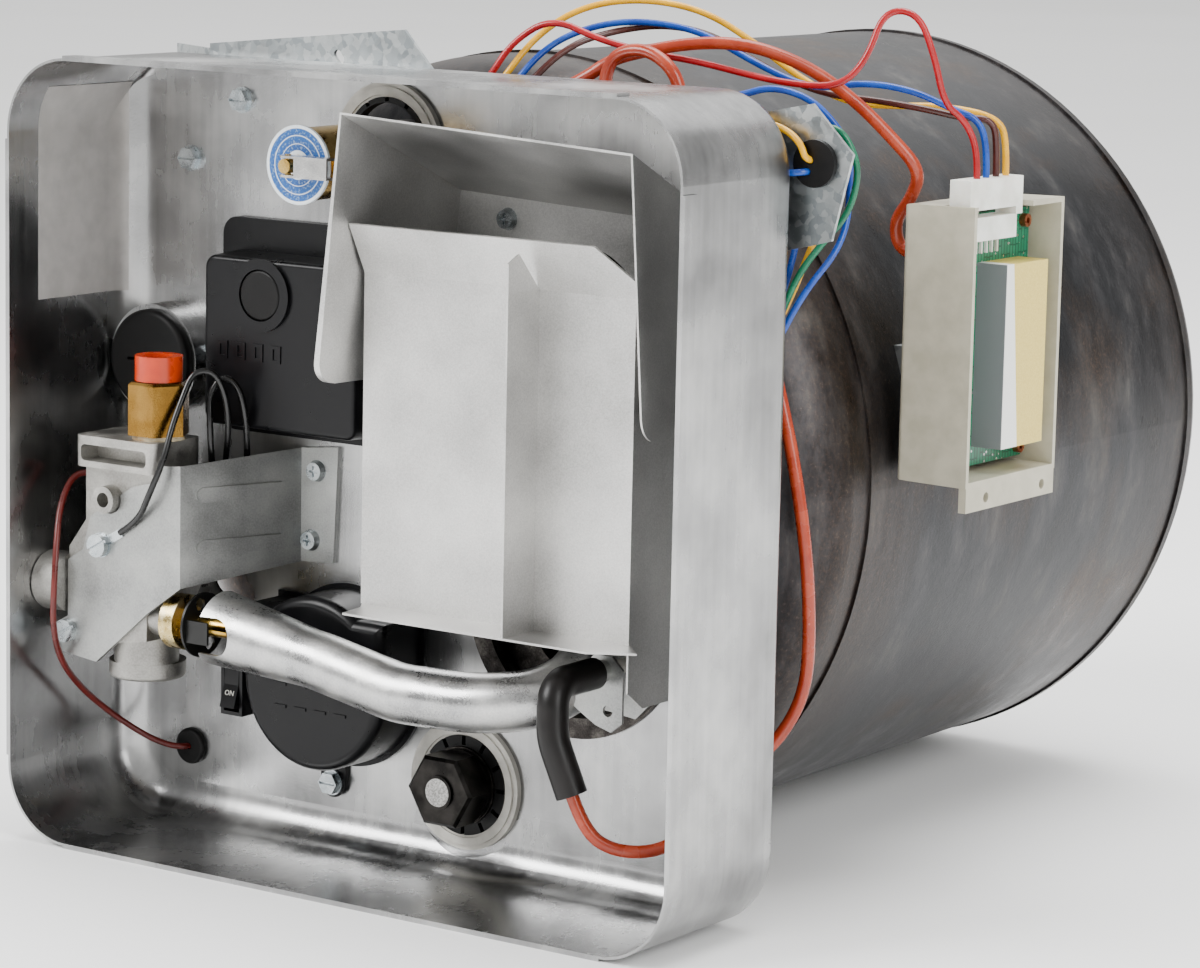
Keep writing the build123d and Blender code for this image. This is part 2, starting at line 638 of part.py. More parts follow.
with BuildPart() as rear_head:
    with BuildSketch(SECTION):
        with BuildLine():
            l1 = Line((SHELL_END, TANK_R - TANK_WALL), (SHELL_END, TANK_R))
            l2 = RadiusArc(l1 @ 1, (SHELL_END + REAR_KNUCKLE_R, REAR_EDGE_R), REAR_KNUCKLE_R)
            l3 = ThreePointArc(l2 @ 1, (TANK_REAR - REAR_RISE / 4, REAR_EDGE_R / 2), (TANK_REAR, 0))
            l4 = Line(l3 @ 1, (TANK_REAR - TANK_WALL, 0))
            l5 = ThreePointArc(l4 @ 1, (TANK_REAR - TANK_WALL - REAR_RISE / 4, REAR_EDGE_R / 2),
                               (SHELL_END + REAR_KNUCKLE_R - TANK_WALL, REAR_EDGE_R))
            RadiusArc(l5 @ 1, l1 @ 0, -(REAR_KNUCKLE_R - TANK_WALL))
        make_face()
    revolve(axis=TANK_AXIS)
    with BuildSketch(at_y(TANK_REAR)):
        with Locations((0, COLD_Z), (0, HOT_Z)):
            Circle(PORT_OUT_R)
    extrude(amount=REAR_RISE + REAR_KNUCKLE_R, mode=Mode.SUBTRACT)

with BuildPart() as tank_heads:
    add(front_head.part)
    add(rear_head.part)
tank_heads.part.label = "tank_heads"
export_step(tank_heads.part, "parts/tank_heads.step")

# Water fittings welded into the rear head
PORT_Y = TANK_REAR + PORT_PROUD
with BuildPart() as water_fittings:
    with BuildSketch(at_y(PORT_Y)):
        with Locations((0, COLD_Z), (0, HOT_Z)):
            Circle(PORT_OUT_R)
            Circle(PORT_R, mode=Mode.SUBTRACT)
    extrude(amount=PORT_DEEP + PORT_PROUD)
water_fittings.part.label = "water_fittings"
export_step(water_fittings.part, "parts/water_fittings.step")

# Threaded spuds welded through the front head
SPUD_END = KNUCKLE_Y - SPUD_SHORT
SPUDS = [(DRAIN_X, DRAIN_Z, DRAIN_SPUD_R, DRAIN_BORE_R, DRAIN_SPUD_Y),
         (RELIEF_X, RELIEF_Z, RELIEF_SPUD_R, NIPPLE_R, RELIEF_SPUD_Y),
         (ELEMENT_X, ELEMENT_Z, ELEMENT_SPUD_R, ELEMENT_BORE_R, ELEMENT_SPUD_Y)]
with BuildPart() as head_spuds:
    for x, z, outer, bore, front_y in SPUDS:
        with BuildSketch(at_y(SPUD_END)):
            with Locations((x, z)):
                Circle(outer)
                Circle(bore, mode=Mode.SUBTRACT)
        extrude(amount=SPUD_END - front_y)
head_spuds.part.label = "head_spuds"
export_step(head_spuds.part, "parts/head_spuds.step")

# Fire tube: runs back from the burner, turns up and comes out in the hood
THROAT_Y = BACK_Y + THROAT_L
with BuildPart() as fire_tube:
    with BuildLine(side_plane(BURNER_X)):
        f1 = Line((THROAT_Y, BURNER_Z), (FLUE_TURN_Y, BURNER_Z))
        f2 = ThreePointArc(f1 @ 1, (FLUE_TURN_Y + (FLUE_Z - BURNER_Z) / 2, (FLUE_Z + BURNER_Z) / 2),
                           (FLUE_TURN_Y, FLUE_Z))
        Line(f2 @ 1, (BACK_Y, FLUE_Z))
    with BuildSketch(at_y(THROAT_Y)):
        with Locations((BURNER_X, BURNER_Z)):
            Circle(FLUE_R)
            Circle(FLUE_R - FLUE_WALL, mode=Mode.SUBTRACT)
    sweep()

# Flange and throat that close the gap between the burner opening and the tank
with BuildPart() as burner_flange:
    with BuildSketch(at_y(BACK_Y)):
        with Locations((BURNER_X, BURNER_Z)):
            Circle(BURNER_RING_R)
            Circle(BURNER_HOLE_R - 2 * SHEET, mode=Mode.SUBTRACT)
    extrude(amount=BURNER_RING_T)
    with BuildSketch(at_y(THROAT_Y)):
        with Locations((BURNER_X, BURNER_Z)):
            Circle(BURNER_HOLE_R - CAP_GAP)
            Circle(BURNER_HOLE_R - 2 * SHEET, mode=Mode.SUBTRACT)
    extrude(amount=THROAT_Y - BACK_Y)
    with BuildSketch(at_y(THROAT_Y)):
        with Locations((BURNER_X, BURNER_Z)):
            Circle(BURNER_HOLE_R - CAP_GAP)
            Circle(FLUE_R - FLUE_WALL, mode=Mode.SUBTRACT)
    extrude(amount=BURNER_RING_T)
    add(fire_tube.part)
burner_flange.part.label = "fire_tube"
export_step(burner_flange.part, "parts/fire_tube.step")


# Off-white bezels and toothed rubber seals round the two upper and lower openings
def bezel_ring(x, z):
    with BuildPart() as ring:
        with BuildSketch(at_y(BACK_Y)):
            with Locations((x, z)):
                Circle(BEZEL_R)
                Circle(BEZEL_IN_R, mode=Mode.SUBTRACT)
        extrude(amount=BEZEL_T)
        with BuildSketch(at_y(PAN_D + SHEET)):
            with Locations((x, z)):
                Circle(BEZEL_IN_R + SHEET - CAP_GAP)
                Circle(BEZEL_IN_R, mode=Mode.SUBTRACT)
        extrude(amount=2 * SHEET)
        with BuildSketch(at_y(BACK_Y - BEZEL_T)):
            with Locations((x, z)):
                Circle(BEZEL_R - 2 * SHEET)
                Circle(BEZEL_IN_R + SHEET, mode=Mode.SUBTRACT)
        extrude(amount=SHEET)
    return ring.part


def seal_ring(x, z, inner):
    with BuildPart() as ring:
        with BuildSketch(at_y(PAN_D + SHEET)):
            with Locations((x, z)):
                Circle(BEZEL_IN_R)
                Circle(inner, mode=Mode.SUBTRACT)
                with PolarLocations((BEZEL_IN_R + inner) / 2 + SHEET / 2, SEAL_TEETH):
                    Rectangle(BEZEL_IN_R - inner, TOOTH_W, mode=Mode.SUBTRACT)
        extrude(amount=SEAL_T)
        with BuildSketch(at_y(PAN_D + SHEET)):
            with Locations((x, z)):
                Circle(BEZEL_IN_R)
                Circle(inner + CAP_GAP, mode=Mode.SUBTRACT)
        extrude(amount=SHEET)
    return ring.part


with BuildPart() as opening_bezels:
    add(bezel_ring(DRAIN_X, DRAIN_Z))
    add(bezel_ring(RELIEF_BEZEL_X, RELIEF_BEZEL_Z))
opening_bezels.part.label = "opening_bezels"
export_step(opening_bezels.part, "parts/opening_bezels.step")

RELIEF_SEAL_R = BEZEL_IN_R - 2.2
ELEMENT_FACE = ELEMENT_SPUD_Y - GASKET_T
with BuildPart() as opening_seals:
    add(seal_ring(DRAIN_X, DRAIN_Z, DRAIN_SPUD_R + CAP_GAP))
    add(seal_ring(RELIEF_BEZEL_X, RELIEF_BEZEL_Z, RELIEF_SEAL_R))
    # Flat gasket under the heating element's hexagon
    with BuildSketch(at_y(ELEMENT_SPUD_Y)):
        with Locations((ELEMENT_X, ELEMENT_Z)):
            Circle(ELEMENT_AF / 2)
            Circle(ELEMENT_BORE_R, mode=Mode.SUBTRACT)
    extrude(amount=GASKET_T)
opening_seals.part.label = "opening_seals"
export_step(opening_seals.part, "parts/opening_seals.step")

# Drain plug: hexagon, collar and threaded shank, with the anode rod behind it
PLUG_SHANK_END = SPUD_END - 4.0
COLLAR_Y = DRAIN_SPUD_Y - PLUG_COLLAR_T
with BuildPart() as drain_plug:
    with BuildSketch(at_y(COLLAR_Y)):
        with Locations((DRAIN_X, DRAIN_Z)):
            RegularPolygon(PLUG_AF / 2, 6, major_radius=False)
    extrude(amount=PLUG_HEX_T)
    chamfer(drain_plug.faces().sort_by(Axis.Y)[0].edges(), 1.2)
    with BuildSketch(at_y(COLLAR_Y - PLUG_HEX_T)):
        with Locations((DRAIN_X, DRAIN_Z)):
            Circle(PLUG_AF / 4)
    extrude(amount=SHEET)
    with BuildSketch(at_y(DRAIN_SPUD_Y)):
        with Locations((DRAIN_X, DRAIN_Z)):
            Circle(PLUG_COLLAR_R)
    extrude(amount=PLUG_COLLAR_T)
    with BuildSketch(at_y(PLUG_SHANK_END)):
        with Locations((DRAIN_X, DRAIN_Z)):
            Circle(DRAIN_BORE_R - CAP_GAP / 2)
    extrude(amount=PLUG_SHANK_END - DRAIN_SPUD_Y)
drain_plug.part.label = "drain_plug"
export_step(drain_plug.part, "parts/drain_plug.step")

with BuildPart() as anode_rod:
    with BuildSketch(at_y(PLUG_SHANK_END + ROD_L)):
        with Locations((DRAIN_X, DRAIN_Z)):
            Circle(ROD_R)
    extrude(amount=ROD_L)
anode_rod.part.label = "anode_rod"
export_step(anode_rod.part, "parts/anode_rod.step")

# Heating element: hexagon head, terminals and the bent heating rod
ROD_LEFT = ELEMENT_X - ELEMENT_ROD_GAP
ROD_RIGHT = ELEMENT_X + ELEMENT_ROD_GAP
with BuildPart() as heating_element:
    with BuildSketch(at_y(ELEMENT_FACE)):
        with Locations((ELEMENT_X, ELEMENT_Z)):
            RegularPolygon(ELEMENT_AF / 2, 6, major_radius=False)
    extrude(amount=ELEMENT_HEX_T)
    with BuildSketch(at_y(ELEMENT_FACE - ELEMENT_HEX_T)):
        with Locations((ROD_LEFT, ELEMENT_Z), (ROD_RIGHT, ELEMENT_Z)):
            Circle(TERMINAL_R)
    extrude(amount=TERMINAL_H)
    with BuildSketch(at_y(SPUD_END - 4)):
        with Locations((ELEMENT_X, ELEMENT_Z)):
            Circle(ELEMENT_BORE_R - CAP_GAP / 2)
    extrude(amount=SPUD_END - 4 - ELEMENT_FACE)
    with BuildLine(Plane.XY.offset(ELEMENT_Z)):
        e1 = Line((ROD_LEFT, SPUD_END - 5), (ROD_LEFT, SPUD_END + ELEMENT_L))
        e2 = ThreePointArc(e1 @ 1, (ELEMENT_X, SPUD_END + ELEMENT_L + ELEMENT_ROD_GAP),
                           (ROD_RIGHT, SPUD_END + ELEMENT_L))
        Line(e2 @ 1, (ROD_RIGHT, SPUD_END - 5))
    with BuildSketch(at_y(SPUD_END - 5)):
        with Locations((ROD_LEFT, ELEMENT_Z)):
            Circle(ELEMENT_ROD_R)
    sweep()
heating_element.part.label = "heating_element"
export_step(heating_element.part, "parts/heating_element.step")

# Relief valve: hexagon, body with its side outlet and the nipple into the tank
STEM_BORE_R = STEM_R + 0.15
with BuildPart() as relief_body:
    with BuildSketch(at_y(RELIEF_HEX_Y)):
        with Locations((RELIEF_X, RELIEF_Z)):
            RegularPolygon(RELIEF_HEX_AF / 2, 6, major_radius=False)
    extrude(amount=RELIEF_HEX_T)
    with BuildSketch(at_y(RELIEF_HEX_Y - RELIEF_HEX_T)):
        with Locations((RELIEF_X, RELIEF_Z)):
            Circle(RELIEF_BODY_R)
    extrude(amount=RELIEF_HEX_Y - RELIEF_HEX_T - RELIEF_FRONT)
    with BuildSketch(at_y(SPUD_END - 4)):
        with Locations((RELIEF_X, RELIEF_Z)):
            Circle(NIPPLE_R - CAP_GAP / 2)
    extrude(amount=SPUD_END - 4 - RELIEF_HEX_Y)
    with BuildSketch(side_plane(RELIEF_X)):
        with Locations((OUTLET_Y, RELIEF_Z)):
            Circle(OUTLET_R)
    extrude(amount=OUTLET_L)
    with BuildSketch(side_plane(RELIEF_X + OUTLET_L)):
        with Locations((OUTLET_Y, RELIEF_Z)):
            Circle(OUTLET_R - 2)
    extrude(amount=-OUTLET_L + 8, mode=Mode.SUBTRACT)
    with BuildSketch(at_y(STEM_BORE_END)):
        with Locations((RELIEF_X, RELIEF_Z)):
            Circle(STEM_BORE_R)
    extrude(amount=STEM_BORE_END - RELIEF_FRONT, mode=Mode.SUBTRACT)
relief_body.part.label = "relief_body"
export_step(relief_body.part, "parts/relief_body.step")

with BuildPart() as relief_disc:
    with BuildSketch(at_y(RELIEF_FRONT)):
        with Locations((RELIEF_X, RELIEF_Z)):
            Circle(DISC_R)
            Circle(STEM_BORE_R + 1, mode=Mode.SUBTRACT)
    extrude(amount=DISC_T)
relief_disc.part.label = "relief_disc"
export_step(relief_disc.part, "parts/relief_disc.step")

with BuildPart() as relief_stem:
    with BuildSketch(at_y(STEM_TIP + STEM_L)):
        with Locations((RELIEF_X, RELIEF_Z)):
            Circle(STEM_R)
    extrude(amount=STEM_L)
    with BuildSketch(Plane.XY.offset(RELIEF_Z - LEVER_W / 2 - 2)):
        with Locations((RELIEF_X, LEVER_PIN_Y)):
            Circle(LEVER_PIN_R)
    extrude(amount=LEVER_W + 4)
relief_stem.part.label = "relief_stem"
export_step(relief_stem.part, "parts/relief_stem.step")

# Lever: two cheeks on the pin, joined by a web that clears the stem's tip
LEVER_HALF = STEM_R + 0.4
with BuildPart() as relief_lever:
    for side in (-1, 1):
        with BuildSketch(Plane.XY.offset(RELIEF_Z + side * (LEVER_HALF + LEVER_T / 2) - LEVER_T / 2)):
            with Locations((RELIEF_X, LEVER_PIN_Y)):
                Circle(LEVER_R)
            with Locations((RELIEF_X, LEVER_PIN_Y)):
                Rectangle(LEVER_L, 2 * LEVER_R, align=(Align.MIN, Align.CENTER))
            with Locations((RELIEF_X, LEVER_PIN_Y)):
                Circle(LEVER_PIN_R + 0.1, mode=Mode.SUBTRACT)
        extrude(amount=LEVER_T)
    with BuildSketch(at_y(LEVER_PIN_Y - LEVER_R + LEVER_T)):
        with Locations((RELIEF_X + LEVER_L, RELIEF_Z)):
            Rectangle(LEVER_L - 5.2, 2 * LEVER_HALF, align=(Align.MAX, Align.CENTER))
    extrude(amount=LEVER_T)
relief_lever.part.label = "relief_lever"
export_step(relief_lever.part, "parts/relief_lever.step")

# Round rubber plug in the raised seat on the left
with BuildPart() as air_plug:
    with BuildSketch(at_y(PLUG_PAD_Y)):
        with Locations((PLUG_X, PLUG_Z)):
            Circle(PLUG_R)
    extrude(amount=PLUG_DOME_T)
    fillet(air_plug.faces().sort_by(Axis.Y)[0].edges(), 2.5)
    with BuildSketch(at_y(PLUG_PAD_Y + 4 * SHEET)):
        with Locations((PLUG_X, PLUG_Z)):
            Circle(PLUG_HOLE_R - CAP_GAP)
    extrude(amount=4 * SHEET)
    with BuildSketch(at_y(PLUG_PAD_Y)):
        with Locations((PLUG_X + 3, PLUG_Z)):
            Rectangle(PLUG_R * 1.3, 1.2)
    extrude(amount=PLUG_DOME_T, mode=Mode.SUBTRACT)
air_plug.part.label = "air_plug"
export_step(air_plug.part, "parts/air_plug.step")

# Grommet in the pan for the valve lead
with BuildPart() as pan_grommet:
    with BuildSketch(at_y(PAN_D + SHEET)):
        with Locations((GROMMET_X, GROMMET_Z)):
            Circle(GROMMET_HOLE_R - CAP_GAP)
    extrude(amount=2 * SHEET)
    with BuildSketch(at_y(BACK_Y)):
        with Locations((GROMMET_X, GROMMET_Z)):
            Circle(GROMMET_R)
    extrude(amount=3)
    fillet(pan_grommet.faces().sort_by(Axis.Y)[0].edges(), 1.5)
    with BuildSketch(at_y(PAN_D + SHEET)):
        with Locations((GROMMET_X, GROMMET_Z)):
            Circle(LEAD_R + BORE_GAP)
    extrude(amount=6 * SHEET, mode=Mode.SUBTRACT)

# Exhaust hood: a scoop in thin sheet, open at the front and below


def hood_form(front, rear, front_y, rear_y):
    with BuildPart() as scoop:
        with BuildSketch(at_y(rear_y)):
            Polygon(*rear, align=None)
        with BuildSketch(at_y(front_y)):
            Polygon(*front, align=None)
        loft(ruled=True)
    return scoop.part


def inset_quad(corners, gap, drop):
    (ax, az), (bx, bz), (cx, cz), (dx, dz) = corners
    return [(ax + gap, az - gap), (bx - gap, bz - gap), (cx - gap + drop * HOOD_SLOPE, cz - drop),
            (dx + gap, dz - drop)]


with BuildPart() as exhaust_hood:
    add(hood_form(HOOD_FACE, HOOD_REAR, HOOD_FRONT, BACK_Y))
    add(hood_form(inset_quad(HOOD_FACE, THIN, HOOD_CUT), inset_quad(HOOD_REAR, THIN, HOOD_CUT),
                  HOOD_FRONT - CAP_GAP, BACK_Y - THIN), mode=Mode.SUBTRACT)
    with BuildSketch(at_y(BACK_Y + SHEET)):
        with Locations((BURNER_X, FLUE_Z)):
            Circle(FLUE_R + CAP_GAP)
        with Locations(HOOD_SCREW):
            Circle(SCREW_HOLE_R)
    extrude(amount=4 * SHEET, mode=Mode.SUBTRACT)
    # The lower front corner of each side wall is rounded
    for wall_x, wall_low, reach in ((-8, 199, 20), (125, 192, 20)):
        with BuildSketch(side_plane(wall_x)):
            with Locations((HOOD_FRONT - 1, wall_low - 1)):
                Rectangle(HOOD_CORNER + 1, HOOD_CORNER + 1, align=(Align.MIN, Align.MIN))
            with Locations((HOOD_FRONT + HOOD_CORNER, wall_low + HOOD_CORNER)):
                Circle(HOOD_CORNER, mode=Mode.SUBTRACT)
        extrude(amount=reach, mode=Mode.SUBTRACT)
exhaust_hood.part.label = "exhaust_hood"
export_step(exhaust_hood.part, "parts/exhaust_hood.step")

# Baffle plate in front of the flue, with its bent edges and side flange
with BuildPart() as baffle_plate:
    with BuildSketch(at_y(BAFFLE_Y + THIN)):
        Polygon((BAFFLE_L, BAFFLE_LOW), (BAFFLE_L, BAFFLE_HIGH), (BAFFLE_R, BAFFLE_HIGH),
                (BAFFLE_R, BAFFLE_LOW), align=None)
    extrude(amount=THIN)
    # The top lip leans forwards
    with BuildSketch(Plane(origin=(0, BAFFLE_Y, BAFFLE_HIGH), x_dir=(1, 0, 0), z_dir=(0, -2, -1))):
        Polygon((BAFFLE_L, -1), (BAFFLE_L - 0.5, 21), (115, 21), (131, 6), (BAFFLE_R, -1), align=None)
    extrude(amount=-THIN)
    # The bottom lip stands straight forwards
    with BuildSketch(Plane.XY.offset(BAFFLE_LOW)):
        Polygon((BAFFLE_L, BAFFLE_Y + THIN), (8, 14), (10, LIP_FRONT_Y), (122, LIP_FRONT_Y), (138, 10),
                (BAFFLE_R, BAFFLE_Y + THIN), align=None)
    extrude(amount=-THIN)
    # The side flange runs back to the pan
    with BuildSketch(side_plane(BAFFLE_R - THIN)):
        Polygon((BAFFLE_Y, BAFFLE_HIGH), (BACK_Y, 190), (BACK_Y, 100), (60, 89), (30, 89), (BAFFLE_Y, 96),
                align=None)
    extrude(amount=THIN)
    # The upright rib stands forwards from the plate
    with BuildSketch(side_plane(RIB_X)):
        Polygon((BAFFLE_Y + THIN, BAFFLE_LOW), (LIP_FRONT_Y, BAFFLE_LOW), (LIP_FRONT_Y, 252), (7, 255),
                (BAFFLE_Y + THIN, BAFFLE_HIGH - 1), align=None)
    extrude(amount=THIN)
baffle_plate.part.label = "baffle_plate"
export_step(baffle_plate.part, "parts/baffle_plate.step")

# Cover over the limit switch, with the rim round its reset button
LIMIT_BOX_W = LIMIT_R - LIMIT_SIDE - LIMIT_BOX_L
LIMIT_BOX_H = LIMIT_BOX_HIGH - LIMIT_BOX_LOW
LIMIT_BOX_X = LIMIT_BOX_L + LIMIT_BOX_W / 2
LIMIT_BOX_Z = (LIMIT_BOX_LOW + LIMIT_BOX_HIGH) / 2
with BuildPart() as limit_cover:
    with BuildSketch(at_y(BACK_Y)):
        with Locations(((LIMIT_L + LIMIT_R) / 2, (LIMIT_LOW + LIMIT_HIGH) / 2)):
            RectangleRounded(LIMIT_R - LIMIT_L, LIMIT_HIGH - LIMIT_LOW, LIMIT_CORNER)
    extrude(amount=COVER_T + 1)
    with BuildSketch(at_y(BACK_Y - COVER_T)):
        with Locations((LIMIT_BOX_X, LIMIT_BOX_Z)):
            RectangleRounded(LIMIT_BOX_W, LIMIT_BOX_H, BOX_CORNER)
    extrude(amount=BACK_Y - COVER_T - LIMIT_BOX_FRONT, taper=BOX_DRAFT)
    fillet(limit_cover.faces().sort_by(Axis.Y)[0].edges(), COVER_T)
    with BuildSketch(at_y(LIMIT_BOX_FRONT)):
        with Locations((RESET_X, RESET_Z)):
            Circle(RESET_RIM_R)
    extrude(amount=RIM_T)
    # Hollow behind, and the hole that the button moves in
    with BuildSketch(at_y(BACK_Y)):
        with Locations((LIMIT_BOX_X, LIMIT_BOX_Z)):
            RectangleRounded(LIMIT_BOX_W - 2 * LIMIT_WALL, LIMIT_BOX_H - 2 * LIMIT_WALL,
                             BOX_CORNER - COVER_T)
    extrude(amount=BACK_Y - LIMIT_BOX_FRONT - COVER_T, mode=Mode.SUBTRACT)
    with BuildSketch(at_y(LIMIT_BOX_FRONT + COVER_T)):
        with Locations((RESET_X, RESET_Z)):
            Circle(RESET_R + RESET_GAP)
    extrude(amount=COVER_T + 2, mode=Mode.SUBTRACT)
    with BuildSketch(at_y(BACK_Y)):
        with Locations(HEX_SCREWS[2]):
            Circle(WASHER_R + RESET_GAP)
    extrude(amount=COVER_T + 1, mode=Mode.SUBTRACT)
    # Row of raised marks below the button
    with BuildSketch(at_y(LIMIT_BOX_FRONT + MARK_SINK)):
        with Locations((RESET_X - 6, RESET_Z - 23)):
            with GridLocations(9, 10, 4, 1):
                Rectangle(5, 7)
                Rectangle(2.4, 4.4, mode=Mode.SUBTRACT)
    extrude(amount=MARK_T)
limit_cover.part.label = "limit_cover"
export_step(limit_cover.part, "parts/limit_cover.step")

RESET_FRONT = LIMIT_BOX_FRONT - RIM_T
with BuildPart() as reset_dome:
    with BuildSketch(at_y(LIMIT_BOX_FRONT + COVER_T)):
        with Locations((RESET_X, RESET_Z)):
            Circle(RESET_R)
    extrude(amount=LIMIT_BOX_FRONT + COVER_T - RESET_FRONT)
    fillet(reset_dome.faces().sort_by(Axis.Y)[0].edges(), 1.2)
    with BuildSketch(at_y(PIN_FRONT - RESET_GAP)):
        with Locations((RESET_X, RESET_Z)):
            Circle(SWITCH_PIN_R + 1)
    extrude(amount=PIN_FRONT - RESET_GAP - LIMIT_BOX_FRONT - COVER_T)
reset_dome.part.label = "reset_dome"
export_step(reset_dome.part, "parts/reset_dome.step")

with BuildPart() as limit_switch:
    with BuildSketch(at_y(BACK_Y)):
        with Locations((RESET_X, RESET_Z), (RESET_X + 26, RESET_Z - 22)):
            Circle(SWITCH_BODY_R)
        with Locations((RESET_X + 13, RESET_Z - 11)):
            Rectangle(38, 6, rotation=-40)
    extrude(amount=2)
    with BuildSketch(at_y(BACK_Y - 2)):
        with Locations((RESET_X, RESET_Z), (RESET_X + 26, RESET_Z - 22)):
            Circle(SWITCH_BODY_R - 1)
    extrude(amount=BACK_Y - 2 - SWITCH_BODY_Y)
    with BuildSketch(at_y(BACK_Y - 2)):
        with Locations((RESET_X, RESET_Z)):
            Circle(SWITCH_PIN_R + 0.1)
    extrude(amount=BACK_Y, mode=Mode.SUBTRACT)
limit_switch.part.label = "limit_switch"
export_step(limit_switch.part, "parts/limit_switch.step")

with BuildPart() as reset_pin:
    with BuildSketch(at_y(SWITCH_BODY_Y + 4)):
        with Locations((RESET_X, RESET_Z)):
            Circle(SWITCH_PIN_R)
    extrude(amount=SWITCH_BODY_Y + 4 - PIN_FRONT)
reset_pin.part.label = "reset_pin"
export_step(reset_pin.part, "parts/reset_pin.step")

# Lower cover: round below, flat above, over the heating element's terminals
DCOVER_RISE = DCOVER_TOP - DCOVER_Z
with BuildPart() as element_cover:
    with BuildSketch(at_y(BACK_Y)):
        with Locations((ELEMENT_X, DCOVER_Z)):
            Circle(DCOVER_R + 2)
            Rectangle(2 * DCOVER_R + 4, DCOVER_RISE + 2, align=(Align.CENTER, Align.MIN))
        with Locations(COVER_SCREW):
            Circle(WASHER_R + 1)
        with Locations((COVER_SCREW[0], COVER_SCREW[1] + 8)):
            Rectangle(2 * WASHER_R + 2, 16)
    extrude(amount=COVER_T)
    with BuildSketch(at_y(BACK_Y - COVER_T)):
        with Locations((ELEMENT_X, DCOVER_Z)):
            Circle(DCOVER_R)
            Rectangle(2 * DCOVER_R, DCOVER_RISE, align=(Align.CENTER, Align.MIN))
    extrude(amount=BACK_Y - COVER_T - DCOVER_FRONT)
    fillet(element_cover.faces().sort_by(Axis.Y)[0].edges(), 4)
    with BuildSketch(at_y(BACK_Y)):
        with Locations((ELEMENT_X, DCOVER_Z)):
            Circle(DCOVER_R - COVER_T)
            Rectangle(2 * (DCOVER_R - COVER_T), DCOVER_RISE - COVER_T, align=(Align.CENTER, Align.MIN))
    extrude(amount=BACK_Y - DCOVER_FRONT - COVER_T, mode=Mode.SUBTRACT)
    with BuildSketch(at_y(BACK_Y)):
        with Locations(COVER_SCREW):
            Circle(SCREW_HOLE_R)
    extrude(amount=COVER_T, mode=Mode.SUBTRACT)
    # Raised ridges where the real cover has its lettering
    with BuildSketch(at_y(DCOVER_FRONT + MARK_SINK)):
        with Locations((ELEMENT_X, DCOVER_Z + 12)):
            with GridLocations(8, 10, 5, 1):
                Rectangle(4.5, 6.5)
                Rectangle(2, 4, mode=Mode.SUBTRACT)
        with Locations((ELEMENT_X, DCOVER_Z - 6)):
            with GridLocations(10, 9, 4, 2):
                Rectangle(6, 1.2)
    extrude(amount=MARK_T)
element_cover.part.label = "element_cover"
export_step(element_cover.part, "parts/element_cover.step")

# Rocker switch in its own housing at the cover's left
PIVOT_Y = SWITCH_FRONT + 3.0
with BuildPart() as switch_housing:
    with BuildSketch(at_y(BACK_Y)):
        with Locations((SWITCH_X, SWITCH_Z)):
            Rectangle(SWITCH_W, SWITCH_H)
    extrude(amount=BACK_Y - SWITCH_FRONT)
    with BuildSketch(at_y(SWITCH_FRONT + 9)):
        with Locations((SWITCH_X, SWITCH_Z)):
            Rectangle(SWITCH_W - 2 * SWITCH_WALL, SWITCH_H - 2 * SWITCH_WALL)
    extrude(amount=9, mode=Mode.SUBTRACT)
    with BuildSketch(side_plane(SWITCH_X - SWITCH_W / 2 + SWITCH_WALL / 2)):
        with Locations((PIVOT_Y, SWITCH_Z)):
            Circle(PIVOT_R + 0.05)
    extrude(amount=SWITCH_W - SWITCH_WALL, mode=Mode.SUBTRACT)
switch_housing.part.label = "switch_housing"
export_step(switch_housing.part, "parts/switch_housing.step")

ROCKER_H = SWITCH_H - 2 * (SWITCH_WALL + ROCKER_GAP)
with BuildPart() as switch_rocker:
    with BuildSketch(side_plane(SWITCH_X - SWITCH_W / 2 + SWITCH_WALL + 0.3)):
        with Locations(Location((PIVOT_Y, SWITCH_Z, 0), (0, 0, -ROCKER_TILT))):
            Polygon((-4.5, -ROCKER_H / 2), (-3.2, 0), (-4.5, ROCKER_H / 2), (0, ROCKER_H / 2), (3.5, 0),
                    (0, -ROCKER_H / 2), align=None)
    extrude(amount=SWITCH_W - 2 * SWITCH_WALL - 0.6)
    with BuildSketch(side_plane(SWITCH_X - SWITCH_W / 2 + SWITCH_WALL / 2 + 0.1)):
        with Locations((PIVOT_Y, SWITCH_Z)):
            Circle(PIVOT_R)
    extrude(amount=SWITCH_W - SWITCH_WALL - 0.2)
switch_rocker.part.label = "switch_rocker"
export_step(switch_rocker.part, "parts/switch_rocker.step")

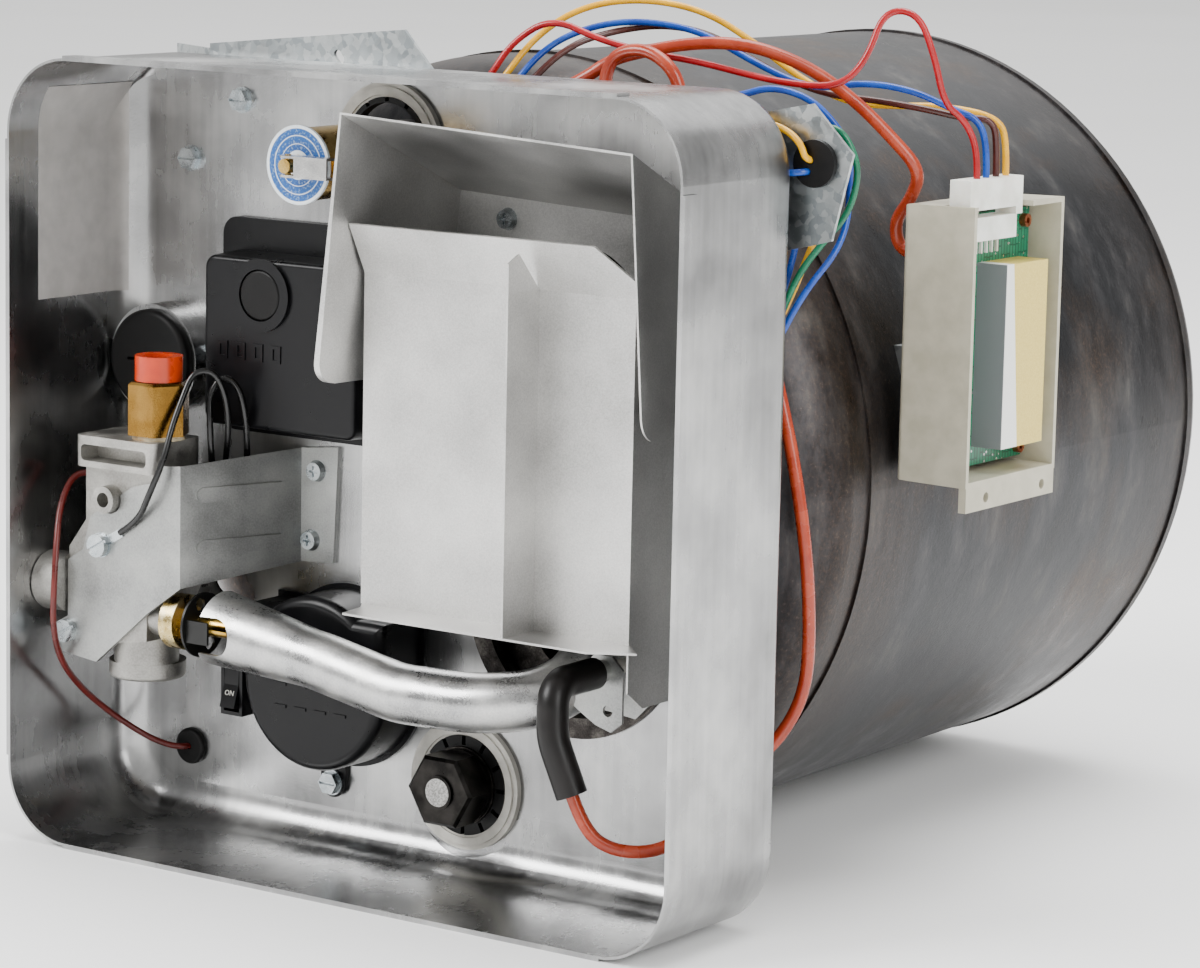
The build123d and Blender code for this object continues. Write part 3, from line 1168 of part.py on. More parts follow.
# Gas valve bracket: front plate, ribbed arm and the flange on the pan
FLANGE_Y = BACK_Y - VALVE_SHEET
ARM_PATH = [(-153, BRACKET_Y), (ARM_X, BRACKET_Y), (ARM_BACK_X, FLANGE_Y), (FLANGE_END_X, FLANGE_Y)]
BRACKET_FACE = [(-146, 113), (-138, 118), (-134, 132), (-112, 146), (-97.5, 150), (-97, 156),
                (ARM_X + 1, 157), (ARM_BACK_X, 161), (FLANGE_END_X, 163), (FLANGE_END_X - 2, 116),
                (ARM_BACK_X, 115), (ARM_X, 108), (-104, 96), (-131, 73), (-149, 75), (-153, 86), (-146, 90)]
ARM_L = hypot(ARM_BACK_X - ARM_X, FLANGE_Y - BRACKET_Y)
VALVE_FACE = BRACKET_Y + VALVE_SHEET
with BuildPart() as valve_bracket:
    with BuildSketch(Plane.XY.offset(70)):
        with BuildLine():
            Polyline(*ARM_PATH)
            offset(amount=VALVE_SHEET, side=Side.LEFT, closed=True)
        make_face()
    extrude(amount=95)
    with BuildSketch(at_y(PAN_D + 5)):
        Polygon(*BRACKET_FACE, align=None)
    extrude(amount=PAN_D, mode=Mode.INTERSECT)
    with BuildSketch(at_y(BACK_Y + SHEET)):
        with Locations(*FLANGE_SCREWS):
            SlotOverall(4 * SCREW_R, 2 * SCREW_HOLE_R, rotation=90)
    extrude(amount=5 * SHEET, mode=Mode.SUBTRACT)
    with BuildSketch(at_y(VALVE_FACE + 1)):
        with Locations((PORT_X, TEST_PORT_Z)):
            Circle(TEST_PORT_R + 0.5)
        with Locations(*VALVE_BOLTS):
            Circle(BOLT_R + BOLT_FIT)
    extrude(amount=2 * VALVE_SHEET, mode=Mode.SUBTRACT)
    # Two ribs pressed along the arm
    arm_face = Plane(origin=(ARM_X, BRACKET_Y, 134), x_dir=(ARM_BACK_X - ARM_X, FLANGE_Y - BRACKET_Y, 0),
                     z_dir=(FLANGE_Y - BRACKET_Y, ARM_X - ARM_BACK_X, 0))
    with BuildSketch(arm_face):
        with Locations((ARM_L / 2, 11), (ARM_L / 2, -10)):
            SlotOverall(ARM_L - 14, 6)
    extrude(amount=1.4)
valve_bracket.part.label = "valve_bracket"
export_step(valve_bracket.part, "parts/valve_bracket.step")

# Valve casting behind the front plate
ELBOW_Y = VALVE_FACE + 1 + ELBOW_R
with BuildPart() as valve_body:
    with BuildSketch(at_y(VALVE_FACE + VALVE_D)):
        Polygon((-147, 80), (-147, 118), (-138, 130), (-138, BODY_TOP), (-99, BODY_TOP), (-99, 112),
                (-106, 98), (-106, 84), (-132, 80), align=None)
    extrude(amount=VALVE_D)
    # Round test port beside the top frame
    with BuildSketch(at_y(VALVE_FACE)):
        with Locations((PORT_X, TEST_PORT_Z)):
            Circle(TEST_PORT_R)
    extrude(amount=TEST_PORT_DEEP)
    with BuildSketch(at_y(VALVE_FACE)):
        with Locations((PORT_X, TEST_PORT_Z)):
            Circle(TEST_PORT_R - TEST_PORT_WALL)
    extrude(amount=TEST_PORT_DEEP, mode=Mode.SUBTRACT)
    # Round regulator end on the left
    with BuildSketch(side_plane(SIDE_CAP_X)):
        with Locations((VALVE_FACE + VALVE_SHEET, SIDE_CAP_Z)):
            Circle(SIDE_CAP_R)
    extrude(amount=SIDE_CAP_L)
    # Outlet elbow below, opening towards the burner tube
    with BuildSketch(Plane.XY.offset(ELBOW_LOW)):
        with Locations((ELBOW_X, ELBOW_Y)):
            Circle(ELBOW_R)
    extrude(amount=ELBOW_H)
    with BuildSketch(side_plane(ELBOW_X)):
        with Locations((NOZZLE_Y, NOZZLE_Z)):
            Circle(NECK_R)
    extrude(amount=NOZZLE_END_X - ELBOW_X)
    with BuildSketch(at_y(VALVE_FACE)):
        with Locations(*VALVE_BOLTS):
            Circle(BOLT_R + BOLT_FIT)
    extrude(amount=-12, mode=Mode.SUBTRACT)

# Round closing cap under the outlet elbow
with BuildPart() as valve_cap:
    with BuildSketch(Plane.XY.offset(ELBOW_LOW - BASE_CAP_T)):
        with Locations((ELBOW_X - 2, ELBOW_Y + 3)):
            Circle(BASE_CAP_R)
    extrude(amount=BASE_CAP_T)
    fillet(valve_cap.edges().sort_by(Axis.Z)[0], 2)

# Rectangular top frame of the valve, open in the middle
with BuildPart() as valve_yoke:
    with BuildSketch(Plane.XY.offset(BODY_TOP)):
        with Locations((YOKE_X, INLET_Y + 1)):
            RectangleRounded(YOKE_W, YOKE_D, YOKE_WALL)
    extrude(amount=YOKE_H)
    with BuildSketch(at_y(INLET_Y - 4)):
        with Locations((YOKE_X, BODY_TOP + YOKE_H / 2 - 0.5)):
            RectangleRounded(YOKE_W - 2 * YOKE_WALL, YOKE_H - 6, 2)
    extrude(amount=20, mode=Mode.SUBTRACT)

with BuildPart() as valve_casting:
    add(valve_body.part)
    add(valve_cap.part)
    add(valve_yoke.part)
valve_casting.part.label = "valve_body"
export_step(valve_casting.part, "parts/valve_body.step")

# Brass gas inlet with a ring of white sealant at its foot and an orange-red transport cap
YOKE_TOP = BODY_TOP + YOKE_H
with BuildPart() as inlet_sealant:
    with BuildSketch(Plane.XY.offset(YOKE_TOP)):
        with Locations((INLET_X, INLET_Y)):
            Circle(INLET_AF / 2 - 0.5)
    extrude(amount=SEALANT_T)
inlet_sealant.part.label = "inlet_sealant"
export_step(inlet_sealant.part, "parts/inlet_sealant.step")

INLET_FOOT = YOKE_TOP + SEALANT_T
with BuildPart() as gas_inlet:
    with BuildSketch(Plane.XY.offset(INLET_FOOT)):
        with Locations((INLET_X, INLET_Y)):
            RegularPolygon(INLET_AF / 2, 6, major_radius=False)
    extrude(amount=INLET_HIGH - INLET_FOOT)
    chamfer(gas_inlet.faces().sort_by(Axis.Z)[-1].edges(), 1)
    with BuildSketch(Plane.XY.offset(INLET_HIGH)):
        with Locations((INLET_X, INLET_Y)):
            Circle(FLARE_R)
    extrude(amount=FLARE_H)
    with BuildSketch(Plane.XY.offset(INLET_HIGH + FLARE_H)):
        with Locations((INLET_X, INLET_Y)):
            Circle(INLET_BORE_R)
    extrude(amount=FLARE_H - 20, mode=Mode.SUBTRACT)
gas_inlet.part.label = "gas_inlet"
export_step(gas_inlet.part, "parts/gas_inlet.step")

with BuildPart() as inlet_cap:
    with BuildSketch(Plane.XY.offset(INLET_HIGH + CAP_LIFT)):
        with Locations((INLET_X, INLET_Y)):
            Circle(FLARE_R + CAP_WALL)
    extrude(amount=CAP_H)
    with BuildSketch(Plane.XY.offset(INLET_HIGH + CAP_LIFT)):
        with Locations((INLET_X, INLET_Y)):
            Circle(FLARE_R + CAP_GAP)
    extrude(amount=FLARE_H, mode=Mode.SUBTRACT)
    with BuildSketch(Plane.XY.offset(INLET_HIGH + CAP_LIFT + CAP_H)):
        with Locations((INLET_X, INLET_Y)):
            Circle(FLARE_R - CAP_WALL)
    extrude(amount=FLARE_H - CAP_H + CAP_WALL, mode=Mode.SUBTRACT)
inlet_cap.part.label = "inlet_cap"
export_step(inlet_cap.part, "parts/inlet_cap.step")

# Nozzle ring, brass orifice and the air shutter that turns on it
with BuildPart() as nozzle_ring:
    with BuildSketch(side_plane(NOZZLE_END_X)):
        with Locations((NOZZLE_Y, NOZZLE_Z)):
            Circle(RING_R)
    extrude(amount=RING_L)
nozzle_ring.part.label = "nozzle_ring"
export_step(nozzle_ring.part, "parts/nozzle_ring.step")

ORIFICE_X = NOZZLE_END_X + RING_L
with BuildPart() as gas_orifice:
    with BuildSketch(side_plane(ORIFICE_X)):
        with Locations((NOZZLE_Y, NOZZLE_Z)):
            RegularPolygon(ORIFICE_R + 1.8, 6, major_radius=False)
    extrude(amount=HEX_L)
    with BuildSketch(side_plane(ORIFICE_X)):
        with Locations((NOZZLE_Y, NOZZLE_Z)):
            Circle(ORIFICE_R)
    extrude(amount=HEX_L + ORIFICE_L)
    with BuildSketch(side_plane(ORIFICE_X + HEX_L + ORIFICE_L)):
        with Locations((NOZZLE_Y, NOZZLE_Z)):
            Circle(JET_R)
    extrude(amount=-JET_DEEP, mode=Mode.SUBTRACT)
gas_orifice.part.label = "gas_orifice"
export_step(gas_orifice.part, "parts/gas_orifice.step")

SHUTTER_BACK = ORIFICE_X + HEX_L + 0.3
with BuildPart() as air_shutter:
    with BuildSketch(side_plane(SHUTTER_BACK)):
        with Locations((NOZZLE_Y, NOZZLE_Z)):
            Circle(SHUTTER_R)
            Circle(ORIFICE_R + 0.06, mode=Mode.SUBTRACT)
        with Locations((NOZZLE_Y + 8.5, NOZZLE_Z + 3), (NOZZLE_Y + 4, NOZZLE_Z - 8),
                       (NOZZLE_Y - 2, NOZZLE_Z + 8.5)):
            Circle(VENT_R, mode=Mode.SUBTRACT)
    extrude(amount=SHUTTER_T)
    with BuildSketch(side_plane(SHUTTER_BACK)):
        with Locations((NOZZLE_Y - TAB_R, NOZZLE_Z - 1)):
            Rectangle(SHUTTER_T, TAB_W)
    extrude(amount=TAB_L)
air_shutter.part.label = "air_shutter"
export_step(air_shutter.part, "parts/air_shutter.step")

# Burner tube: flared mouth, slight sag, then the turn into the fire tube
TUBE_ROUTE = [(MOUTH_X, NOZZLE_Y, NOZZLE_Z), (-22, NOZZLE_Y, 86), (15, NOZZLE_Y, 79),
              (52, NOZZLE_Y + 1.5, 79.5), (80, 44, 84), (78, 66, 94), (69, 112, 110)]
TUBE_BENDS = [60, 60, 60, 22, 30]


def burner_form(inset):
    with BuildPart() as form:
        with BuildLine() as route:
            FilletPolyline(*TUBE_ROUTE, radius=TUBE_BENDS)
        start = Plane(origin=route.line @ 0, z_dir=route.line % 0)
        with BuildSketch(start):
            Circle(TUBE_R - inset)
        sweep()
        with BuildSketch(start.offset(-2 * inset)):
            Circle(MOUTH_R - inset)
        with BuildSketch(start.offset(FLARE_L)):
            Circle(TUBE_R - inset)
        loft()
    return form.part


with BuildPart() as burner_tube:
    add(burner_form(0))
    add(burner_form(TUBE_WALL), mode=Mode.SUBTRACT)
    # Air window cut in the front of the mouth
    with BuildSketch(at_y(NOZZLE_Y - 6)):
        with Locations((MOUTH_X - 5, NOZZLE_Z - 1)):
            SlotOverall(40, 15)
    extrude(amount=MOUTH_R, mode=Mode.SUBTRACT)
burner_tube.part.label = "burner_tube"
export_step(burner_tube.part, "parts/burner_tube.step")

# Clamp plate that holds the burner tube on the flange
FLANGE_FACE = BACK_Y - BURNER_RING_T
with BuildPart() as burner_clamp:
    with BuildSketch(at_y(FLANGE_FACE)):
        Polygon((62, 104), (91, 108), (94, 92), (104, 80), (98, 74), (62, 78), align=None)
    extrude(amount=CLAMP_T)
    add(burner_form(0), mode=Mode.SUBTRACT)

# Igniter: ceramic electrode, its clip on the burner tube and the rubber boot
with BuildPart() as igniter_rod:
    with BuildSketch(at_y(CERAMIC_END)):
        with Locations((CERAMIC_X, CERAMIC_Z)):
            Circle(CERAMIC_R)
    extrude(amount=CERAMIC_END - CERAMIC_FRONT)
    with BuildSketch(at_y(CERAMIC_END + 8)):
        with Locations((CERAMIC_X, CERAMIC_Z)):
            Circle(1)
    extrude(amount=8)
igniter_rod.part.label = "igniter_rod"
export_step(igniter_rod.part, "parts/igniter_rod.step")

with BuildPart() as igniter_clip:
    with BuildSketch(at_y(CLIP_Y)):
        Polygon((78, 88), (93, 100), (96, 103), (104, 103), (109, 98), (109, 78), (104, 74), (97, 76),
                (90, 80), align=None)
        with Locations((102.5, 82)):
            Circle(2.2, mode=Mode.SUBTRACT)
        with Locations((CERAMIC_X, CERAMIC_Z)):
            Circle(CERAMIC_R, mode=Mode.SUBTRACT)
    extrude(amount=CLIP_T)
    with BuildSketch(at_y(CLIP_Y - CLIP_T)):
        with Locations((CERAMIC_X, CERAMIC_Z)):
            Circle(CERAMIC_R + 1.4)
            Circle(CERAMIC_R, mode=Mode.SUBTRACT)
    extrude(amount=4)
    add(burner_form(0), mode=Mode.SUBTRACT)

with BuildPart() as tube_clips:
    add(burner_clamp.part)
    add(igniter_clip.part)
tube_clips.part.label = "tube_clips"
export_step(tube_clips.part, "parts/tube_clips.step")

BOOT_ROUTE = [(CERAMIC_X, 38, CERAMIC_Z), (CERAMIC_X, 12, CERAMIC_Z), (102, 9, 78), (110, 11, 57)]
with BuildPart() as igniter_boot:
    with BuildLine() as boot_line:
        FilletPolyline(*BOOT_ROUTE, radius=[9, 30])
    with BuildSketch(Plane(origin=boot_line.line @ 0, z_dir=boot_line.line % 0)):
        Circle(BOOT_R)
    sweep()
    add(igniter_rod.part, mode=Mode.SUBTRACT)
igniter_boot.part.label = "igniter_boot"
export_step(igniter_boot.part, "parts/igniter_boot.step")

# Control board case: moulded box, open towards +X, with a drilled flange below
CASE_MID_Y = CASE_FRONT_Y + CASE_L / 2
BOARD_X = CASE_BACK + CASE_T + POST_H
with BuildPart() as board_case:
    with BuildSketch(side_plane(CASE_BACK)):
        with Locations((CASE_MID_Y, (CASE_LOW + CASE_HIGH) / 2)):
            Rectangle(CASE_L, CASE_HIGH - CASE_LOW)
    extrude(amount=CASE_D, taper=-1)
    fillet(board_case.faces().sort_by(Axis.X)[0].edges(), 2)
    with BuildSketch(side_plane(CASE_BACK + CASE_T)):
        with Locations((CASE_MID_Y, (CASE_LOW + CASE_HIGH) / 2)):
            Rectangle(CASE_L - 2 * CASE_T, CASE_HIGH - CASE_LOW - 2 * CASE_T)
    extrude(amount=CASE_D, taper=-1, mode=Mode.SUBTRACT)
    # Flange along the lower edge of the open side
    with BuildSketch(side_plane(CASE_OPEN - FLANGE_T)):
        with Locations((CASE_MID_Y, CASE_LOW - FLANGE_DROP)):
            Rectangle(CASE_L, FLANGE_DROP + 1.5, align=(Align.CENTER, Align.MIN))
        with Locations((CASE_MID_Y + 3, CASE_LOW - FLANGE_DROP / 2 - 0.5)):
            with GridLocations(FLANGE_SPACING, 1, 2, 1):
                Circle(FLANGE_HOLE_R, mode=Mode.SUBTRACT)
    extrude(amount=FLANGE_T)
    # Hole in the back wall for the igniter lead
    with BuildSketch(side_plane(CASE_BACK - 1)):
        with Locations(CABLE_ENTRY):
            Circle(CABLE_ENTRY_R)
    extrude(amount=CASE_T + 2, mode=Mode.SUBTRACT)
    # Notch in the top wall for the plug
    with BuildSketch(Plane.XY.offset(CASE_HIGH + 2)):
        with Locations((CASE_OPEN, CASE_FRONT_Y + HEADER_FROM_FRONT)):
            Rectangle(2 * (CASE_OPEN - BOARD_X), 42)
    extrude(amount=-CASE_T - 4, mode=Mode.SUBTRACT)
board_case.part.label = "board_case"
export_step(board_case.part, "parts/board_case.step")

# Carrier between the case and the tank, cut to the tank's curve
with BuildPart() as case_carrier:
    with BuildSketch(side_plane(TANK_R - CARRIER_DEEP)):
        with Locations((CASE_MID_Y, TANK_Z + CARRIER_UP)):
            Rectangle(CARRIER_W, CARRIER_H)
    extrude(amount=CASE_STANDOFF + CARRIER_DEEP)
    with BuildSketch(at_y(SHELL_END)):
        with Locations((0, TANK_Z)):
            Circle(TANK_R)
    extrude(amount=SHELL_END - SKIRT_END, mode=Mode.SUBTRACT)
case_carrier.part.label = "case_carrier"
export_step(case_carrier.part, "parts/case_carrier.step")

# Circuit board on its posts, relay block, plug and header pins
BOARD_Y = (CASE_FRONT_Y + 6.0, CASE_END_Y - 3.0)
BOARD_Z = (CASE_LOW + 4.0, CASE_HIGH - 4.0)
POSTS = [(BOARD_Y[0] + 5, BOARD_Z[0] + 4), (BOARD_Y[1] - 4, BOARD_Z[0] + 4),
         (BOARD_Y[1] - 5, BOARD_Z[1] - 5)]
with BuildPart() as circuit_board:
    with BuildSketch(side_plane(BOARD_X)):
        with Locations((BOARD_Y[0], BOARD_Z[0])):
            Rectangle(BOARD_Y[1] - BOARD_Y[0], BOARD_Z[1] - BOARD_Z[0], align=(Align.MIN, Align.MIN))
        with Locations(*POSTS):
            Circle(POST_NECK_R, mode=Mode.SUBTRACT)
    extrude(amount=BOARD_T)
circuit_board.part.label = "circuit_board"
export_step(circuit_board.part, "parts/circuit_board.step")

with BuildPart() as board_posts:
    with BuildSketch(side_plane(CASE_BACK + CASE_T)):
        with Locations(*POSTS):
            Circle(POST_R)
    extrude(amount=POST_H)
    with BuildSketch(side_plane(BOARD_X)):
        with Locations(*POSTS):
            Circle(POST_NECK_R)
    extrude(amount=BOARD_T)
    with BuildSketch(side_plane(BOARD_X + BOARD_T)):
        with Locations(*POSTS):
            Circle(POST_R)
            Circle(POST_BORE_R, mode=Mode.SUBTRACT)
    extrude(amount=POST_RIM_T)
board_posts.part.label = "board_posts"
export_step(board_posts.part, "parts/board_posts.step")

# The relay block stands on the board
with BuildPart() as relay_block:
    with BuildSketch(side_plane(BOARD_X + BOARD_T)):
        with Locations((BLOCK_Y[0], BLOCK_Z[0])):
            Rectangle(BLOCK_Y[1] - BLOCK_Y[0], BLOCK_Z[1] - BLOCK_Z[0], align=(Align.MIN, Align.MIN))
    extrude(amount=BLOCK_T)
relay_block.part.label = "relay_block"
export_step(relay_block.part, "parts/relay_block.step")

HEADER_Y = CASE_FRONT_Y + HEADER_FROM_FRONT
with BuildPart() as board_header:
    with BuildSketch(side_plane(BOARD_X + BOARD_T)):
        with Locations((HEADER_Y, CASE_HIGH - HEADER_H)):
            Rectangle(HEADER_L, HEADER_H)
    extrude(amount=HEADER_T)
    with BuildSketch(side_plane(BOARD_X + BOARD_T)):
        with Locations((HEADER_Y, CASE_HIGH - 16.5)):
            with GridLocations(4, 1, 9, 1):
                Rectangle(1, 6)
    extrude(amount=1.2)
board_header.part.label = "board_header"
export_step(board_header.part, "parts/board_header.step")

with BuildPart() as harness_plug:
    with BuildSketch(side_plane(BOARD_X + BOARD_T + 0.2)):
        with Locations((HEADER_Y, CASE_HIGH - PLUG_OVERLAP)):
            Rectangle(HEADER_L + 4, PLUG_RISE + PLUG_OVERLAP, align=(Align.CENTER, Align.MIN))
            Rectangle(HEADER_L - 6, 3, align=(Align.CENTER, Align.MIN), mode=Mode.SUBTRACT)
    extrude(amount=PLUG_T)
harness_plug.part.label = "harness_plug"
export_step(harness_plug.part, "parts/harness_plug.step")

# The front head as a full solid: what stands on the head is cut to it
with BuildPart() as head_solid:
    with BuildSketch(SECTION):
        with BuildLine():
            w1 = Line((KNUCKLE_Y, 0), (KNUCKLE_Y, TANK_R))
            w2 = RadiusArc(w1 @ 1, (KNUCKLE_Y - KNUCKLE_R, HEAD_EDGE_R), -KNUCKLE_R)
            w3 = ThreePointArc(w2 @ 1, (HEAD_FRONT + HEAD_RISE / 4, HEAD_EDGE_R / 2), (HEAD_FRONT, 0))
            Line(w3 @ 1, w1 @ 0)
        make_face()
    revolve(axis=TANK_AXIS)

# Galvanised corner plates behind the pan, welded to the front head
with BuildPart() as wire_bracket:
    with BuildSketch(at_y(WIRE_PLATE_Y + PLATE_T)):
        Polygon((100, 262), (140, 306), (162.5, 310.6), (180.2, 293), (172, 261), (166.5, 259.5), (148, 255),
                (112, 240), align=None)
        with Locations(WIRE_HOLE):
            Circle(WIRE_HOLE_R, mode=Mode.SUBTRACT)
    extrude(amount=PLATE_T)
    # Foot bent back on to the head
    with BuildSketch(at_y(KNUCKLE_Y)):
        Polygon((100, 262), (112, 240), (110.6, 239.3), (98.6, 261.3), align=None)
    extrude(amount=KNUCKLE_Y - WIRE_PLATE_Y)
    add(head_solid.part, mode=Mode.SUBTRACT)
wire_bracket.part.label = "wire_bracket"
export_step(wire_bracket.part, "parts/wire_bracket.step")

with BuildPart() as pan_bracket:
    with BuildSketch(at_y(PAN_D + PLATE_T)):
        Polygon((-118, 258), (-118, 319), (-20, 329), (-6, 314), (-44, 302), (-60, 268), (-80, 252),
                align=None)
        with Locations((-52, 317)):
            SlotOverall(6, 3.4, rotation=-50, mode=Mode.SUBTRACT)
    extrude(amount=PLATE_T)
    with BuildSketch(Plane.XY.offset(264)):
        Polygon((-118, PAN_D), (-118, PAN_D + PLATE_T), (-149, PAN_D + WING_BACK + PLATE_T),
                (-149, PAN_D + WING_BACK), align=None)
    extrude(amount=53)
    with BuildSketch(at_y(PAN_D + 20)):
        with Locations(*HEX_SCREWS[:2]):
            Circle(SCREW_HOLE_R)
    extrude(amount=20, mode=Mode.SUBTRACT)
    # Foot bent back on to the head
    with BuildSketch(at_y(KNUCKLE_Y)):
        Polygon((-60, 268), (-80, 252), (-79, 250.8), (-59, 266.8), align=None)
    extrude(amount=KNUCKLE_Y - PAN_D)
    add(head_solid.part, mode=Mode.SUBTRACT)
pan_bracket.part.label = "pan_bracket"
export_step(pan_bracket.part, "parts/pan_bracket.step")


# Grommets for the rows of wires, the element's leads and the corner plate
def row_grommet(middle, bores, pitch, turn):
    """A rubber strip in the pan's back with a row of bores, and a lip in front and behind."""
    with BuildPart() as strip:
        with BuildSketch(at_y(PAN_D)):
            with Locations(middle):
                add(row_outline(bores, pitch, ROW_MARGIN - CAP_GAP, turn))
        extrude(amount=SHEET)
        for face_y in (BACK_Y, PAN_D + ROW_LIP):
            with BuildSketch(at_y(face_y)):
                with Locations(middle):
                    add(row_outline(bores, pitch, ROW_MARGIN + ROW_LIP, turn))
            extrude(amount=ROW_LIP)
        with BuildSketch(at_y(PAN_D + 2 * ROW_LIP)):
            with Locations(Location((middle[0], middle[1], 0), (0, 0, turn))):
                with GridLocations(pitch, 1, bores, 1):
                    Circle(WIRE_R + BORE_GAP)
        extrude(amount=4 * ROW_LIP + SHEET, mode=Mode.SUBTRACT)
    return strip.part


with BuildPart() as element_grommet:
    with BuildSketch(at_y(PAN_D + ENTRY_PROUD)):
        with Locations(ELEMENT_ENTRY):
            Circle(ELEMENT_ENTRY_R - CAP_GAP)
        with Locations(*ELEMENT_BORES):
            Circle(WIRE_R + BORE_GAP, mode=Mode.SUBTRACT)
    extrude(amount=SHEET + 2 * ENTRY_PROUD)

with BuildPart() as plate_grommet:
    with BuildSketch(at_y(WIRE_PLATE_Y + PLATE_T)):
        with Locations(WIRE_HOLE):
            Circle(WIRE_HOLE_R - CAP_GAP / 2)
    extrude(amount=PLATE_T)
    for face_y in (WIRE_PLATE_Y, WIRE_PLATE_Y + PLATE_T + PLATE_LIP):
        with BuildSketch(at_y(face_y)):
            with Locations(WIRE_HOLE):
                Circle(WIRE_HOLE_R + ROW_MARGIN)
        extrude(amount=PLATE_LIP)
    with BuildSketch(at_y(WIRE_PLATE_Y + PLATE_T + 2 * PLATE_LIP)):
        with Locations(*PLATE_BORES):
            Circle(WIRE_R + BORE_GAP)
    extrude(amount=PLATE_T + 4 * PLATE_LIP, mode=Mode.SUBTRACT)

with BuildPart() as lead_grommets:
    add(pan_grommet.part)
    add(plate_grommet.part)
    add(element_grommet.part)
    add(row_grommet(HARNESS_ROW, HARNESS_BORES, HARNESS_PITCH, HARNESS_TURN))
    add(row_grommet(SWITCH_ROW, SWITCH_BORES, SWITCH_PITCH, 0))
lead_grommets.part.label = "lead_grommets"
export_step(lead_grommets.part, "parts/lead_grommets.step")


# Screws: hexagon heads with washer faces on the pan, and round heads on the hood and bracket
def hex_screw(x, z, seat_y):
    with BuildPart() as screw:
        with BuildSketch(at_y(seat_y)):
            with Locations((x, z)):
                Circle(WASHER_R)
        extrude(amount=WASHER_T)
        with BuildSketch(at_y(seat_y - WASHER_T)):
            with Locations((x, z)):
                RegularPolygon(HEX_HEAD_AF / 2, 6, major_radius=False)
        extrude(amount=HEX_HEAD_T)
        with BuildSketch(at_y(seat_y + SCREW_L)):
            with Locations((x, z)):
                Circle(SCREW_R)
        extrude(amount=SCREW_L)
        with BuildSketch(at_y(seat_y - WASHER_T - HEX_HEAD_T)):
            with Locations((x, z)):
                Rectangle(HEX_HEAD_AF, CROSS_W)
        extrude(amount=-SLOT_DEEP, mode=Mode.SUBTRACT)
    return screw.part


def cross_screw(x, z, seat_y):
    with BuildPart() as screw:
        with BuildSketch(at_y(seat_y)):
            with Locations((x, z)):
                Circle(PAN_HEAD_R)
        extrude(amount=PAN_HEAD_T, taper=HEAD_DRAFT)
        with BuildSketch(at_y(seat_y + SCREW_L)):
            with Locations((x, z)):
                Circle(SCREW_R)
        extrude(amount=SCREW_L)
        with BuildSketch(at_y(seat_y - PAN_HEAD_T)):
            with Locations((x, z)):
                Rectangle(PAN_HEAD_R, CROSS_W)
                Rectangle(CROSS_W, PAN_HEAD_R)
        extrude(amount=-SLOT_DEEP, mode=Mode.SUBTRACT)
    return screw.part


with BuildPart() as pan_screws:
    for x, z in HEX_SCREWS:
        add(hex_screw(x, z, BACK_Y))
    add(hex_screw(*COVER_SCREW, BACK_Y - COVER_T))
    add(cross_screw(*HOOD_SCREW, BACK_Y - THIN))
    for x, z in FLANGE_SCREWS:
        add(cross_screw(x, z, FLANGE_Y))
pan_screws.part.label = "pan_screws"
export_step(pan_screws.part, "parts/pan_screws.step")

# Two bolts that hold the casting to its bracket, the upper one through a ring terminal
with BuildPart() as ring_terminal:
    with BuildSketch(at_y(BRACKET_Y)):
        with Locations(VALVE_BOLTS[0]):
            Circle(TERMINAL_RING_R)
        with Locations((VALVE_BOLTS[0][0] + TAIL_X, VALVE_BOLTS[0][1] + TAIL_Z)):
            Rectangle(TAIL_L, TAIL_W, rotation=TAIL_TURN)
        with Locations(VALVE_BOLTS[0]):
            Circle(BOLT_R + BOLT_FIT, mode=Mode.SUBTRACT)
    extrude(amount=TERMINAL_T)

with BuildPart() as valve_bolts:
    add(ring_terminal.part)
    for (x, z), seat in zip(VALVE_BOLTS, (BRACKET_Y - TERMINAL_T - TERMINAL_GAP, BRACKET_Y)):
        with BuildSketch(at_y(seat)):
            with Locations((x, z)):
                Circle(BOLT_HEAD_R)
        extrude(amount=BOLT_HEAD_T)
        with BuildSketch(at_y(seat - BOLT_HEAD_T)):
            with Locations((x, z)):
                Rectangle(2 * BOLT_HEAD_R + 1, SLOT_W, rotation=TAIL_TURN)
        extrude(amount=-SLOT_DEEP, mode=Mode.SUBTRACT)
        with BuildSketch(at_y(VALVE_FACE + BOLT_DEEP)):
            with Locations((x, z)):
                Circle(BOLT_R)
        extrude(amount=VALVE_FACE + BOLT_DEEP - seat)
valve_bolts.part.label = "valve_bolts"
export_step(valve_bolts.part, "parts/valve_bolts.step")


# Wires, each swept whole along its route
def wire(route, radius, name):
    """A round wire along a route; every corner is rounded as far as its shorter run allows."""
    corners = []
    for before, here, after in zip(route, route[1:], route[2:]):
        run_in = Vector(here) - Vector(before)
        run_out = Vector(after) - Vector(here)
        half_turn = radians(run_in.get_angle(run_out)) / 2
        corners.append(CORNER_SHARE * min(run_in.length, run_out.length) / tan(half_turn))
    with BuildPart() as tube:
        with BuildLine() as path:
            FilletPolyline(*route, radius=corners)
        with BuildSketch(Plane(origin=path.line @ 0, z_dir=path.line % 0)):
            Circle(radius)
        sweep()
    length = sum(run.length for run in path.edges())
    share = tube.part.volume / (pi * radius ** 2 * length)
    print(f"{name}: length {length:.0f}, tightest corners "
          f"{[round(c, 1) for c in sorted(corners)[:3]]}, volume share {share:.3f}")
    return tube.part


with BuildPart() as harness_red:
    add(wire(RED_ROUTE, WIRE_R, "harness_red"))
harness_red.part.label = "harness_red"
export_step(harness_red.part, "parts/harness_red.step")

with BuildPart() as harness_blue:
    add(wire(BLUE_ROUTE, WIRE_R, "harness_blue"))
harness_blue.part.label = "harness_blue"
export_step(harness_blue.part, "parts/harness_blue.step")

